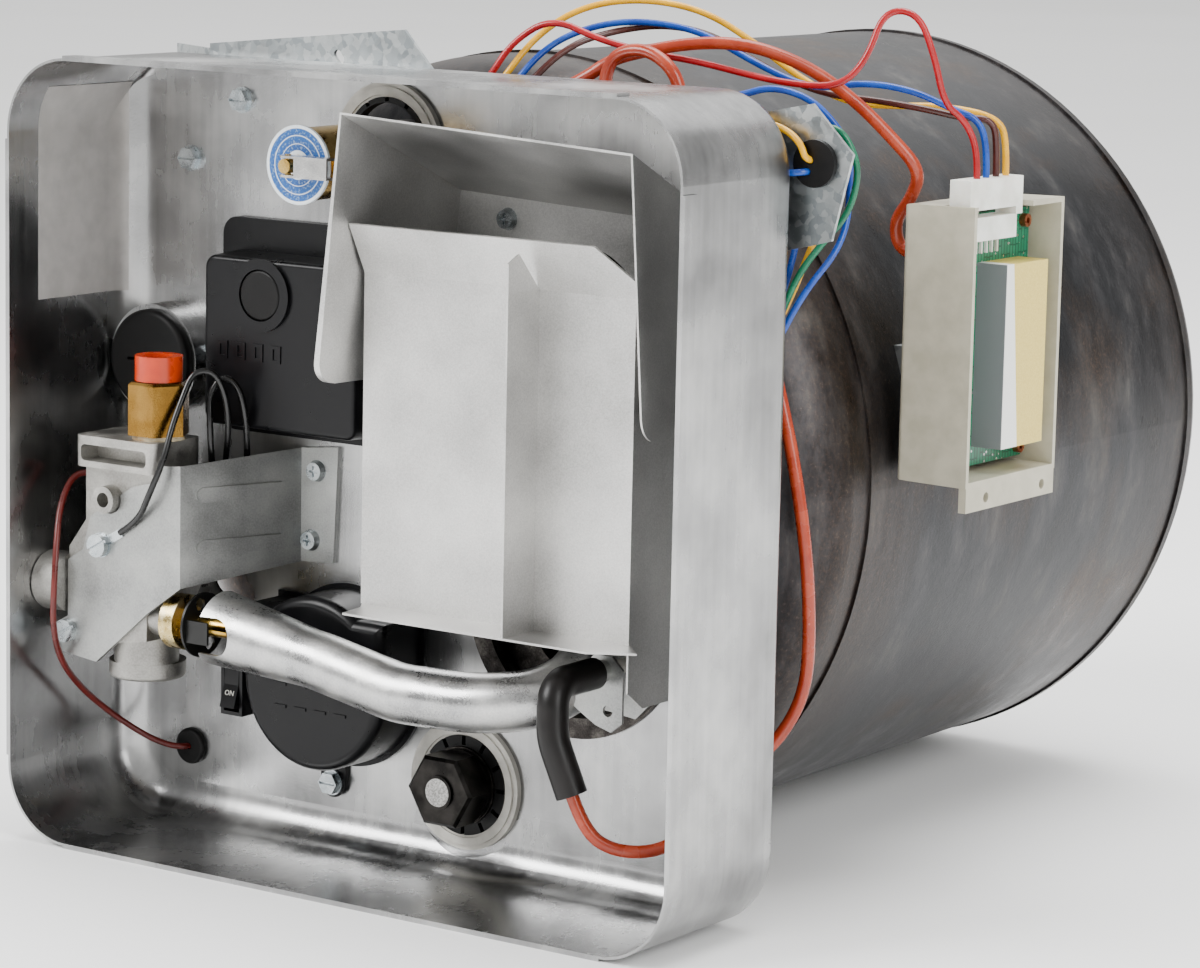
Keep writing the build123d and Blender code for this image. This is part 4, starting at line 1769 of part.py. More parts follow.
with BuildPart() as harness_brown:
    add(wire(BROWN_ROUTE, WIRE_R, "harness_brown"))
harness_brown.part.label = "harness_brown"
export_step(harness_brown.part, "parts/harness_brown.step")

with BuildPart() as harness_yellow:
    add(wire(YELLOW_ROUTE, WIRE_R, "harness_yellow"))
harness_yellow.part.label = "harness_yellow"
export_step(harness_yellow.part, "parts/harness_yellow.step")

with BuildPart() as igniter_lead:
    add(wire(IGNITER_ROUTE, CABLE_R, "igniter_lead"))
igniter_lead.part.label = "igniter_lead"
export_step(igniter_lead.part, "parts/igniter_lead.step")

with BuildPart() as element_lead_blue:
    add(wire(ELEMENT_BLUE_ROUTE, WIRE_R, "element_lead_blue"))
element_lead_blue.part.label = "element_lead_blue"
export_step(element_lead_blue.part, "parts/element_lead_blue.step")

with BuildPart() as element_lead_green:
    add(wire(ELEMENT_GREEN_ROUTE, WIRE_R, "element_lead_green"))
element_lead_green.part.label = "element_lead_green"
export_step(element_lead_green.part, "parts/element_lead_green.step")

with BuildPart() as bracket_leads:
    add(wire(BRACKET_YELLOW_ROUTE, WIRE_R, "bracket_leads, yellow"))
    add(wire(BRACKET_BLUE_ROUTE, WIRE_R, "bracket_leads, blue"))
bracket_leads.part.label = "bracket_leads"
export_step(bracket_leads.part, "parts/bracket_leads.step")

with BuildPart() as valve_lead:
    add(wire(VALVE_ROUTE, LEAD_R, "valve_lead"))
valve_lead.part.label = "valve_lead"
export_step(valve_lead.part, "parts/valve_lead.step")

with BuildPart() as switch_leads:
    add(wire(SWITCH_ROUTE_A, LEAD_R, "switch_leads, first"))
    add(wire(SWITCH_ROUTE_B, LEAD_R, "switch_leads, second"))
switch_leads.part.label = "switch_leads"
export_step(switch_leads.part, "parts/switch_leads.step")
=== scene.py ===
"""A gas and electric water heater for a caravan, without its casing, foam and door.

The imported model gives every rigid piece, and this script dresses it: first the camera and the wires, then
the finishes, then the solder joints and the switch's print that the solids leave out, and last the studio.
Lengths in the tables below are in millimetres, and MM turns them to metres.
"""

import math

import bmesh
import bpy
from mathutils import Matrix, Vector


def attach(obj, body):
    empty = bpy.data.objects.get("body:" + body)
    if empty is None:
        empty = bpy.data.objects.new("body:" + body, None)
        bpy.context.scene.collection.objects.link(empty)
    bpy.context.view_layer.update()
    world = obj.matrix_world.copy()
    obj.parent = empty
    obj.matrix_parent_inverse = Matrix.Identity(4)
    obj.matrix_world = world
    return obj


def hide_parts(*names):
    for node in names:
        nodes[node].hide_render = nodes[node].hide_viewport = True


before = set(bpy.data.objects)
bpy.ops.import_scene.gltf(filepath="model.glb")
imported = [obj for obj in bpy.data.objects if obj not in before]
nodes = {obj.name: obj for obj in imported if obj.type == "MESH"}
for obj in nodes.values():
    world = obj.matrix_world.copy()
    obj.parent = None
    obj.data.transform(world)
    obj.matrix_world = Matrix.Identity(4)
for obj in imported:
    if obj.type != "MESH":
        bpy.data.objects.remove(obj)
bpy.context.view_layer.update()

MM = 0.001
BODY = "heater"
THIN, THICK = 1.3, 2.5  # the radius of a hook-up wire, and of the ignition cable


# Camera: it stands where the photograph was taken from, right of the pan and a little above it.

CAMERA_AT = Vector((0.96811, -1.20968, 0.41610))
YAW, PITCH, ROLL = (math.radians(a) for a in (34.802, 9.250, 1.205))
LENS = 124.97

ahead = Vector((-math.sin(YAW) * math.cos(PITCH), math.cos(YAW) * math.cos(PITCH), -math.sin(PITCH)))
level = ahead.cross(Vector((0, 0, 1))).normalized()
upright = level.cross(ahead)
side = math.cos(ROLL) * level + math.sin(ROLL) * upright
up = math.cos(ROLL) * upright - math.sin(ROLL) * level
lens = bpy.data.cameras.new("photo_camera")
lens.lens = LENS
lens.sensor_width = 36.0
lens.clip_start, lens.clip_end = 0.05, 100.0
camera = bpy.data.objects.new("photo_camera", lens)
camera.matrix_world = Matrix.Translation(CAMERA_AT) @ Matrix((side, up, -ahead)).transposed().to_4x4()
bpy.context.collection.objects.link(camera)
bpy.context.scene.camera = camera


# Wires: each is one smooth curve, and its control points are the corners of its route.

def lead(name, node, slot, radius, route):
    """A round wire that leaves the heater and returns into it, along a route given in mm.

    Its radius is kept in the points and the bevel's depth is 1, so that the curve's box is its true one.
    """
    curve = bpy.data.curves.new(name, "CURVE")
    curve.dimensions = "3D"
    line = curve.splines.new("NURBS")
    line.points.add(len(route) - 1)
    for point, place in zip(line.points, route):
        point.co = (*(c * MM for c in place), 1.0)
        point.radius = radius * MM
    line.order_u = 3
    line.use_endpoint_u = True
    curve.resolution_u = 6
    curve.bevel_depth = 1.0
    curve.bevel_resolution = 3
    curve.use_fill_caps = True
    piece = bpy.data.objects.new(name, curve)
    bpy.context.collection.objects.link(piece)
    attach(piece, BODY)
    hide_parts(node)
    wires[name] = (piece, slot)


wires = {}
lead("red_harness_wire", "harness_red", "red_wire", THIN, [
    (-49.3, 70, 230.7), (-49.3, 78, 230.7), (-42.3, 78.6, 244.7), (-19.3, 79.4, 262.7),
    (-4.9, 80, 289.1), (15.5, 81, 312.5), (22.1, 86, 325.9), (37.9, 90, 336), (56.9, 95, 328),
    (76.7, 100, 323.9), (95.5, 106, 321.3), (118, 111, 316.6), (133.4, 117, 314.2), (148.2, 123, 314.4),
    (155.5, 129, 325), (158.2, 135, 342.8), (171, 139, 342.5), (176.3, 143, 325.5), (177.9, 148, 308.2),
    (182, 157, 302), (186.3, 160, 291), (186.3, 160, 280),
])
lead("yellow_harness_wire", "harness_yellow", "yellow_wire", THIN, [
    (-46.5, 70, 228.5), (-46.5, 78, 228.5), (-39.5, 78.6, 242.5), (-16.5, 79.4, 260.5), (-1, 80, 287),
    (20.5, 81, 310.5), (27.1, 94, 328.1), (39.8, 107, 339.8), (59.4, 119, 343.4), (79.5, 132, 339.4),
    (96.3, 142, 327.6), (113.5, 150, 313.7), (132.3, 155, 305.3), (151.6, 160, 305.4),
    (166.3, 168, 305.9), (184.5, 179.5, 302), (186.3, 182, 291), (186.3, 182, 280),
])
lead("blue_harness_wire", "harness_blue", "blue_wire", THIN, [
    (-43.6, 70, 226.2), (-43.6, 78, 226.2), (-36.6, 78.6, 240.2), (-13.6, 79.4, 258.2), (2.7, 80, 284.9),
    (25, 81, 308.5), (33.1, 93, 324.6), (44.2, 107, 332.4), (59.4, 118, 335), (81.9, 126, 332),
    (103.9, 132, 320), (125.7, 138, 311), (143.5, 145, 314.7), (161.4, 152, 312.4), (174.2, 159, 306),
    (184, 164.5, 302), (186.3, 167, 291), (186.3, 167, 280),
])
lead("brown_harness_wire", "harness_brown", "brown_wire", THIN, [
    (-40.8, 70, 224), (-40.8, 78, 224), (-33.8, 78.6, 238), (-10.8, 79.4, 256), (6.1, 80, 282.8),
    (29, 81, 306.5), (40.4, 96, 324.9), (51.1, 114, 330.9), (67, 126, 333.6), (84.9, 134, 329.6),
    (103.7, 141, 317.3), (124.6, 147, 309), (146.9, 153, 307.4), (164.9, 160, 304.7), (175.5, 166, 302),
    (185.5, 172.5, 302), (186.3, 174.5, 291), (186.3, 174.5, 280),
])
lead("ignition_cable", "igniter_lead", "orange_wire", THICK, [
    (110, 11, 57), (114.8, 12.2, 44.4), (124, 17, 37), (136, 29, 36), (143, 43, 43), (142, 56, 53),
    (140, 68, 60), (140, 83, 60), (147, 94, 69), (157, 95.5, 88), (160.5, 92, 114), (159, 89.5, 146),
    (153, 88, 180), (144, 87.5, 212), (134, 88.3, 242), (124, 88.5, 268), (113, 88, 290),
    (103, 84, 306.9), (99.9, 82, 320.2), (85.6, 81.5, 327.6), (69.3, 81.5, 322.3), (69, 81.5, 300),
    (62, 81.5, 280), (43, 81.5, 271), (27, 81.5, 287), (38, 81.5, 305), (58.6, 82.5, 313.8),
    (68.2, 87, 321.7), (80, 95, 325.4), (94.1, 103, 328.5), (110.2, 110, 329), (123.2, 120, 324.8),
    (135.5, 129, 317.6), (147.8, 137, 306.6), (157.8, 143, 295.3), (168, 149.5, 282.5),
    (161.5, 154.5, 271.5), (151.5, 158.5, 261.5), (153, 160.8, 250), (167, 160, 249), (180, 160, 249),
])
lead("blue_element_wire", "element_lead_blue", "blue_wire", THIN, [
    (-38, 70, 221.8), (-38, 77.2, 221.8), (-33, 77.2, 233.8), (-16, 75.4, 247), (8, 75.4, 267),
    (38, 75.4, 281), (68, 75.4, 293), (96, 76, 300), (117, 78, 308.5), (130.6, 81, 311.9),
    (141.2, 86, 315.5), (154.3, 91, 311.7), (163.3, 95, 302.5), (167.6, 98.5, 293.1), (167, 100, 281.9),
    (167.9, 98, 267), (166.9, 92, 255.5), (161.5, 83, 244), (156.5, 76.6, 231), (145.5, 76.4, 209),
    (122.5, 76.4, 190), (95, 76.4, 178), (67, 76.4, 172.5), (39, 76.4, 165), (13.5, 76.4, 149.5),
    (-10.5, 76.4, 128.5), (-29.5, 76.4, 113.8), (-46, 76.4, 103.5), (-54, 76.4, 96), (-64.1, 76.4, 90.5),
    (-64.1, 70, 90.5),
])
lead("green_element_wire", "element_lead_green", "green_wire", THIN, [
    (157, 81.5, 299), (157, 87, 299), (162, 91, 302), (168.5, 92, 300), (172.4, 95, 290.6),
    (172.9, 96, 282.5), (170.3, 94, 269.6), (162.6, 88, 258.5), (157.5, 80.5, 247), (154.1, 76.6, 234.2),
    (143.1, 76.4, 212.2), (120.1, 76.4, 193.2), (92.6, 76.4, 181.2), (64.6, 76.4, 175.7),
    (36.6, 76.4, 168.2), (11.1, 76.4, 152.7), (-12.9, 76.4, 131.7), (-31.9, 76.4, 117),
    (-48.4, 76.4, 106.7), (-56.4, 76.4, 99.2), (-66.5, 76.4, 93.7), (-66.5, 70, 93.7),
])
lead("yellow_bracket_wire", "bracket_leads", "yellow_wire", THIN, [
    (-35.1, 70, 219.5), (-35.1, 77.2, 219.5), (-30.1, 77.2, 231.5), (-10, 75.4, 247.3),
    (20, 75.4, 269.5), (54, 75.4, 281.5), (88, 75.4, 292.5), (116, 75.6, 300), (138, 75.7, 304.5),
    (153.3, 75.8, 301.4), (161.2, 74.7, 296.4), (163.4, 74.7, 290), (163.4, 88.5, 290), (161.5, 96, 281),
    (158, 96.5, 267), (156, 88, 251), (153, 80, 234), (141, 79.9, 213), (120.5, 79.9, 194.5),
    (94, 79.9, 182), (66, 79.9, 176.5), (36.5, 79.9, 168.5), (10.5, 79.9, 152.5), (-13, 79.9, 131.5),
    (-36.5, 79.9, 113.5), (-48.5, 79.9, 102), (-57, 79.9, 94.5), (-67.1, 79.9, 88.3), (-67.1, 70, 88.3),
])
lead("blue_bracket_wire", "bracket_leads", "blue_wire", THIN, [
    (-32.3, 70, 217.3), (-32.3, 77.2, 217.3), (-27.3, 77.2, 229.3), (-5.5, 75.4, 243.5), (22, 75.4, 265),
    (56, 75.4, 277), (90, 75.4, 286), (118, 75.5, 289.5), (140, 75.6, 287.5), (154.5, 74.5, 285),
    (162.5, 74.4, 286), (162.5, 89.3, 286), (156.5, 90.5, 277), (152.5, 88.5, 262), (151.5, 84.5, 247),
    (148.5, 80.4, 232), (138.6, 79.9, 216.2), (118.1, 79.9, 197.7), (91.6, 79.9, 185.2),
    (63.6, 79.9, 179.7), (34.1, 79.9, 171.7), (8.1, 79.9, 155.7), (-15.4, 79.9, 134.7),
    (-38.9, 79.9, 116.7), (-50.9, 79.9, 105.2), (-59.4, 79.9, 97.7), (-69.5, 79.9, 91.5),
    (-69.5, 70, 91.5),
])
lead("valve_earth_wire", "valve_lead", "brown_wire", THIN, [
    (-138, 34, 147), (-144.5, 34, 147), (-150, 27.5, 146.5), (-148.5, 18, 135.5), (-144.5, 11.5, 121),
    (-142.6, 8, 104), (-143.9, 8.7, 87), (-148, 18, 71), (-150, 33, 57), (-147.5, 47, 45.5),
    (-139.5, 57.5, 36), (-132, 62.3, 32), (-124, 65.8, 30.7), (-124, 74, 30.7),
])
lead("near_switch_wire", "switch_leads", "black_wire", THIN, [
    (-117.1, 18.6, 127.3), (-107.6, 18.6, 132.8), (-98.5, 14.5, 145), (-93.2, 17, 159), (-93.2, 22, 172),
    (-92.5, 27.5, 183), (-91, 32, 193), (-84.5, 37, 193.5), (-81.8, 41, 184), (-82.5, 44, 172),
    (-86.5, 47, 158), (-91, 49.5, 145), (-97, 53, 133), (-104, 57, 123), (-107.5, 60, 109),
    (-107, 70, 104), (-105.5, 78, 107), (-102, 78.6, 121), (-99.5, 78.4, 140), (-97.5, 78, 160),
    (-96, 78, 177), (-95.2, 77.4, 189), (-95.2, 70, 189),
])
lead("far_switch_wire", "switch_leads", "black_wire", THIN, [
    (-99, 45, 142), (-92.5, 45, 142), (-88.8, 41.5, 152), (-88, 39.5, 163), (-88.2, 39, 173.5),
    (-89.5, 40, 183.5), (-86, 44, 191), (-80, 46.8, 187), (-77.5, 48.3, 175.5), (-79.5, 51.6, 163),
    (-83, 56, 150), (-89, 58, 138), (-96, 60.5, 127), (-101.5, 63, 115), (-102.5, 71, 106.5),
    (-101.5, 78, 108.5), (-98, 79, 121.5), (-95.5, 78.6, 140), (-93.4, 78.2, 160), (-92, 78, 177),
    (-91.4, 77.4, 189), (-91.4, 70, 189),
])


# Finishes: one function turns a hex colour to linear, one adds a node, and one starts a material.

def tint(shade):
    """The linear colour of an sRGB hex value such as #c8c9cb."""
    parts = [int(shade[i:i + 2], 16) / 255 for i in (1, 3, 5)]
    return [c / 12.92 if c <= 0.04045 else ((c + 0.055) / 1.055) ** 2.4 for c in parts] + [1.0]


def add(tree, kind, settings=(), inputs=()):
    """Adds a node with its settings, and fills its inputs with values or with links from other nodes."""
    node = tree.nodes.new(kind)
    for name, value in dict(settings).items():
        if name == "stops":
            first, last = node.color_ramp.elements
            last.position, last.color = value[-1][0], tint(value[-1][1])
            first.position, first.color = value[0][0], tint(value[0][1])
            for place, shade in value[1:-1]:
                node.color_ramp.elements.new(place).color = tint(shade)
        else:
            setattr(node, name, value)
    for name, value in dict(inputs).items():
        if isinstance(value, bpy.types.NodeSocket):
            tree.links.new(value, node.inputs[name])
        else:
            node.inputs[name].default_value = value
    return node


def start(name, **fixed):
    """A new material: its tree, its shader with the values that are the same all over, and the place."""
    made = bpy.data.materials.new(name)
    made.use_nodes = True
    tree = made.node_tree
    shader = tree.nodes["Principled BSDF"]
    for socket, value in fixed.items():
        shader.inputs[socket.replace("_", " ")].default_value = value
    return made, tree, shader, add(tree, "ShaderNodeTexCoord").outputs["Object"]


def size(mm):
    """The scale of a noise or cell pattern whose features are that many millimetres across."""
    return 1 / (mm * MM)


def spread(tree, fac, low, high, start_at=0.3, end_at=0.7):
    """A pattern's middle range, laid out from one value to another."""
    return add(tree, "ShaderNodeMapRange", {}, {
        "Value": fac, "From Min": start_at, "From Max": end_at, "To Min": low, "To Max": high,
    }).outputs["Result"]


def sums(tree, operation, first, second=0.0, third=0.0):
    """One step of arithmetic on up to three values."""
    step = add(tree, "ShaderNodeMath", {"operation": operation}, {0: first, 1: second, 2: third})
    return step.outputs["Value"]


def axis(tree, place, letter):
    """One coordinate of the place, in metres."""
    return add(tree, "ShaderNodeSeparateXYZ", {}, {"Vector": place}).outputs[letter]


def blend(tree, fac, under, over, kind="MIX"):
    """Two colours blended by a value or by a pattern."""
    return add(tree, "ShaderNodeMix", {"data_type": "RGBA", "blend_type": kind},
               {0: fac, 6: under, 7: over}).outputs[2]


def shades(tree, fac, stops):
    """A colour ramp with the given stops, read at a pattern's value."""
    return add(tree, "ShaderNodeValToRGB", {"stops": stops}, {"Fac": fac}).outputs["Color"]


def noise(tree, lie, mm, detail, rough=0.5):
    """A cloudy pattern whose features are that many millimetres across."""
    return add(tree, "ShaderNodeTexNoise", {}, {
        "Vector": lie, "Scale": size(mm), "Detail": detail, "Roughness": rough,
    }).outputs["Fac"]


def stretched(tree, place, scale):
    """The place with some axes pressed together, so that a pattern on it runs into streaks along them."""
    return add(tree, "ShaderNodeMapping", {}, {"Vector": place, "Scale": scale}).outputs["Vector"]


def off_axis(tree, place, across, height):
    """The distance in metres from a line that runs straight back through a point of the front."""
    aside = sums(tree, "SUBTRACT", axis(tree, place, "X"), across * MM)
    above = sums(tree, "SUBTRACT", axis(tree, place, "Z"), height * MM)
    squares = sums(tree, "ADD", sums(tree, "POWER", aside, 2.0), sums(tree, "POWER", above, 2.0))
    return sums(tree, "SQRT", squares)


def relief(tree, shader, *layers):
    """Bumps laid over each other, each a height pattern and its depth in mm, the broadest first."""
    normal = None
    for height, depth in layers:
        fed = {"Height": height, "Distance": depth * MM}
        if normal:
            fed["Normal"] = normal
        normal = add(tree, "ShaderNodeBump", {}, fed).outputs["Normal"]
    tree.links.new(normal, shader.inputs["Normal"])


def metal(name, stops, cloud, grain, rough, depth, wave=None):
    """A metal whose colour and polish drift in clouds, with a fine grain that catches the light."""
    made, tree, shader, place = start(name, Metallic=1.0)
    grains = noise(tree, place, grain, 3.0)
    both = sums(tree, "MULTIPLY_ADD", grains, 0.5, spread(tree, noise(tree, place, cloud, 6.0), 0.0, 0.5))
    tree.links.new(shades(tree, both, stops), shader.inputs["Base Color"])
    tree.links.new(spread(tree, both, *rough), shader.inputs["Roughness"])
    waves = [(noise(tree, place, wave[0], 1.0), wave[1])] if wave else []
    relief(tree, shader, *waves, (grains, depth))
    return made


def moulded(name, pair, grain, rough, depth, **fixed):
    """A plastic or rubber, moulded: nearly one colour, with the fine texture of the mould."""
    made, tree, shader, place = start(name, **fixed)
    drift = noise(tree, place, 9, 4.0)
    tree.links.new(shades(tree, drift, [(0.35, pair[0]), (0.65, pair[1])]), shader.inputs["Base Color"])
    tree.links.new(spread(tree, drift, *rough), shader.inputs["Roughness"])
    relief(tree, shader, (noise(tree, place, grain, 2.0), depth))
    return made


def drawn_pan():
    """Deep-drawn aluminised steel: bright, with smears, fine scratches and streaks of painted highlight up
    its walls.
    """
    made, tree, shader, place = start("aluminised_steel_drawn", Metallic=1.0)
    clouds = noise(tree, place, 38, 5.0)
    streaks = noise(tree, stretched(tree, place, (1, 1, 0.05)), 3.5, 4.0)
    grain = noise(tree, place, 0.8, 3.0)
    scratch = noise(tree, stretched(tree, place, (1, 1, 0.03)), 0.7, 2.0)
    # The streaks go into the colour as painted streaky highlights, and into the polish and bumps as real
    # draw marks.
    clouds_and_sheen_streaks = sums(tree, "MULTIPLY_ADD", streaks, 0.25, spread(tree, clouds, 0.1, 0.55))
    steel = shades(tree, clouds_and_sheen_streaks, [(0.2, "#868686"), (0.45, "#a8a8a8"), (0.62, "#bebebd"), (0.85, "#d8d7d6")])
    lines = shades(tree, scratch, [(0.68, "#000000"), (0.76, "#2c2c2c")])
    tree.links.new(blend(tree, 0.5, steel, lines, "SCREEN"), shader.inputs["Base Color"])
    tree.links.new(spread(tree, clouds_and_sheen_streaks, 0.19, 0.38, 0.25, 0.75), shader.inputs["Roughness"])
    relief(tree, shader, (noise(tree, place, 55, 1.0), 0.8), (streaks, 0.012), (grain, 0.03))
    return made


drawn_steel = drawn_pan()

# Aluminised steel sheet, folded: flat pale grey with a fine sparkle, duller than the pan.
folded_steel = metal("aluminised_steel_sheet", [(0.2, "#a09f9d"), (0.5, "#c6c5c3"), (0.85, "#e8e7e4")],
                     60, 0.6, (0.36, 0.55), 0.05)

# Aluminised tube, drawn and flattened: satin, in gentle waves from the bender.
tube_steel = metal("aluminised_tube", [(0.2, "#9b9b9c"), (0.5, "#bdbdbc"), (0.8, "#d8d7d4")],
                   18, 0.9, (0.24, 0.42), 0.04, wave=(30, 0.3))


def spangled(name, stops, crystal, rough):
    """Hot-dip galvanised steel: frost-like crystals, each with its own shade of grey."""
    made, tree, shader, place = start(name, Metallic=1.0)
    warp = add(tree, "ShaderNodeTexNoise", {}, {"Vector": place, "Scale": size(4), "Detail": 3.0})
    bent = add(tree, "ShaderNodeVectorMath", {"operation": "MULTIPLY_ADD"},
               {0: warp.outputs["Color"], 1: (3 * MM, 3 * MM, 3 * MM), 2: place})
    crystals = add(tree, "ShaderNodeTexVoronoi", {},
                   {"Vector": bent.outputs["Vector"], "Scale": size(crystal), "Randomness": 1.0})
    grey = add(tree, "ShaderNodeSeparateColor", {}, {"Color": crystals.outputs["Color"]})
    frost = sums(tree, "MULTIPLY_ADD", warp.outputs["Fac"], 0.4, grey.outputs["Red"])
    tree.links.new(shades(tree, frost, stops), shader.inputs["Base Color"])
    tree.links.new(spread(tree, grey.outputs["Green"], *rough, 0.0, 1.0), shader.inputs["Roughness"])
    relief(tree, shader, (warp.outputs["Fac"], 0.05))
    return made


galvanised = spangled("galvanised_steel", [(0.1, "#8f9699"), (0.6, "#a6acae"), (1.0, "#bcc0c0")],
                      3, (0.3, 0.44))

# Zinc plate on screws: bluish and bright. Zinc-coated sheet: an even satin grey.
zinc_plate = metal("zinc_plated_steel", [(0.2, "#8e9699"), (0.5, "#b9bfc2"), (0.85, "#dadfe0")],
                   8, 0.5, (0.2, 0.38), 0.02)
satin_zinc = metal("zinc_sheet_satin", [(0.2, "#838483"), (0.5, "#a3a4a2"), (0.85, "#bdbdba")],
                   25, 0.7, (0.36, 0.5), 0.05)

# Die-cast aluminium, shot blasted: even matte grey with a grainy skin.
cast_alloy = metal("cast_aluminium", [(0.2, "#85837f"), (0.5, "#a8a6a1"), (0.85, "#c8c6c1")],
                   14, 0.8, (0.42, 0.6), 0.12)

# Brass, turned and new; brass bar gone brown from handling; and the small gas jet, nearly polished.
turned_brass = metal("turned_brass", [(0.2, "#8e6f38"), (0.5, "#ba9752"), (0.85, "#dcc07e")],
                     12, 0.6, (0.18, 0.34), 0.02)
rough_brass = metal("brass_bar_dull", [(0.2, "#573d18"), (0.5, "#7b5a27"), (0.85, "#a17d42")],
                    14, 0.5, (0.18, 0.32), 0.04)
bright_brass = metal("bright_brass", [(0.2, "#b98a2f"), (0.5, "#e0b653"), (0.85, "#f3d583")],
                     6, 0.5, (0.12, 0.25), 0.01)

# Copper eyelets, red-brown. Stainless steel, clear and smooth. Gilt plate, a pale straw yellow.
copper = metal("copper", [(0.2, "#8f4a2f"), (0.5, "#b8694a"), (0.85, "#d99673")],
               3, 0.4, (0.25, 0.4), 0.02)
stainless = metal("stainless_steel", [(0.2, "#9a9a9a"), (0.5, "#c2c1bf"), (0.85, "#dcdcda")],
                  12, 0.5, (0.18, 0.32), 0.015)
gilt = metal("gilt_ring", [(0.2, "#a88f55"), (0.5, "#d3bd84"), (0.85, "#efe3c0")],
             4, 0.5, (0.2, 0.4), 0.02)

# Steel with a black oxide: dark brown-grey, worn paler on the high spots.
oxide_steel = metal("black_oxide_steel", [(0.2, "#1d1b1a"), (0.5, "#3a3735"), (0.85, "#6a6662")],
                    6, 0.7, (0.3, 0.5), 0.06)

# Solder, set: small and nearly white, with a wet shine.
solder = metal("tin_solder", [(0.2, "#a9acad"), (0.5, "#cfd1d1"), (0.85, "#e9eaea")],
               3, 0.5, (0.15, 0.3), 0.02)


HEAT_FROM, HEAT_TO = 100, 460  # where the tank's heat bands begin and end, behind the pan's front edge
HEAT_DRIFT = 30  # how far the mottling carries a band along the tank


def mill_scale():
    """Hot rolled tank steel: blue-black scale, mottled and flaked, browned where the welds heated it."""
    made, tree, shader, place = start("mill_scale_steel", Metallic=0.8)
    lie = stretched(tree, place, (1, 1, 0.4))
    mottle = noise(tree, lie, 19, 9.0, 0.66)
    flakes = noise(tree, place, 1.7, 5.0, 0.72)
    stains = noise(tree, stretched(tree, place, (1, 0.5, 0.25)), 34, 4.0, 0.6)
    scale = shades(tree, mottle, [
        (0.3, "#141416"), (0.45, "#242528"), (0.56, "#3a3a3c"), (0.66, "#504f4e"), (0.8, "#716e69"),
    ])
    rust = shades(tree, flakes, [(0.3, "#1f1712"), (0.52, "#43301f"), (0.75, "#735235")])
    drift = sums(tree, "MULTIPLY_ADD", mottle, HEAT_DRIFT * MM, axis(tree, place, "Y"))
    heat = shades(tree, spread(tree, drift, 0.0, 1.0, HEAT_FROM * MM, HEAT_TO * MM), [
        (0.0, "#101010"), (0.1, "#9a9a9a"), (0.2, "#808080"), (0.27, "#1c1c1c"), (0.72, "#0c0c0c"),
        (0.86, "#6c6c6c"), (0.95, "#909090"), (1.0, "#505050"),
    ])
    soiled = spread(tree, stains, 0.0, 0.55, 0.5, 0.7)
    warmed = blend(tree, sums(tree, "MAXIMUM", heat, soiled), scale, rust)
    chips = shades(tree, flakes, [(0.63, "#000000"), (0.74, "#626364")])
    tree.links.new(blend(tree, 0.4, warmed, chips, "SCREEN"), shader.inputs["Base Color"])
    tree.links.new(spread(tree, mottle, 0.26, 0.5), shader.inputs["Roughness"])
    relief(tree, shader, (noise(tree, lie, 30, 2.0), 0.35), (flakes, 0.1))
    return made


tank_steel = mill_scale()

# Glass-filled nylon, EPDM rubber and silicone, all black: a soft low sheen, dullest on the rubber.
black_nylon = moulded("black_nylon", ("#08080a", "#0e0e10"), 0.5, (0.26, 0.36), 0.03,
                      Specular_IOR_Level=0.22)
black_rubber = moulded("black_rubber", ("#090909", "#111010"), 0.7, (0.4, 0.52), 0.05,
                       Specular_IOR_Level=0.22)
boot_rubber = moulded("silicone_boot", ("#0b0908", "#151211"), 0.6, (0.32, 0.46), 0.04,
                      Specular_IOR_Level=0.3)

# ABS case in grey beige, white nylon connectors, and the pale rings of pressed gasket board.
case_plastic = moulded("case_abs_beige", ("#aaa592", "#b8b3a0"), 0.6, (0.32, 0.42), 0.03)
white_nylon = moulded("white_nylon", ("#d9d7cd", "#ecebe4"), 0.5, (0.35, 0.5), 0.02,
                      Subsurface_Weight=0.1)
seal_grey = moulded("pale_gasket", ("#b9b6ae", "#d6d3cb"), 0.8, (0.5, 0.7), 0.06)

# Polythene cap: a strong orange-red that lets some light through. Glazed porcelain: white and glossy.
orange_cap = moulded("orange_polythene", ("#cf3400", "#e24406"), 0.6, (0.2, 0.32), 0.02,
                     Transmission_Weight=0.2, Subsurface_Weight=0.1)
porcelain = moulded("glazed_porcelain", ("#dedad0", "#efece4"), 0.8, (0.15, 0.25), 0.01)

# Thread sealant, smeared cream over brown. Black paint on steel. Foil paper: plain and silver-grey.
sealant = moulded("thread_sealant", ("#8a6a42", "#e0d4b4"), 1.2, (0.4, 0.6), 0.2)
shutter_black = moulded("black_painted_steel", ("#0a0a0a", "#131312"), 0.5, (0.3, 0.42), 0.03,
                        Metallic=0.3)
silver_paper = moulded("silver_foil_label", ("#a3a09d", "#b1aeab"), 0.5, (0.3, 0.38), 0.02,
                       Metallic=0.25)


DISC_X, DISC_Z, DISC_R = -30, 279, 16  # the relief valve's disc: its middle, and where its rings end


def printed_disc():
    """The relief valve's printed disc: clear blue, with white rings round its hub and its edge."""
    made, tree, shader, place = start("printed_blue_disc", Roughness=0.34)
    out = spread(tree, off_axis(tree, place, DISC_X, DISC_Z), 0.0, 1.0, 0.0, DISC_R * MM)
    inks = shades(tree, out, [
        (0.0, "#dfe6ea"), (0.34, "#dfe6ea"), (0.36, "#024a90"), (0.49, "#024a90"), (0.5, "#e8eef1"),
        (0.52, "#024a90"), (0.68, "#06559c"), (0.7, "#e8eef1"), (0.72, "#024a90"), (0.86, "#06559c"),
        (0.88, "#eef2f4"), (0.94, "#dfe6ea"),
    ])
    specks = noise(tree, place, 0.9, 3.0)
    worn = spread(tree, specks, 0.0, 0.4, 0.52, 0.66)
    tree.links.new(blend(tree, worn, inks, tint("#b9cddc")), shader.inputs["Base Color"])
    relief(tree, shader, (specks, 0.01))
    return made


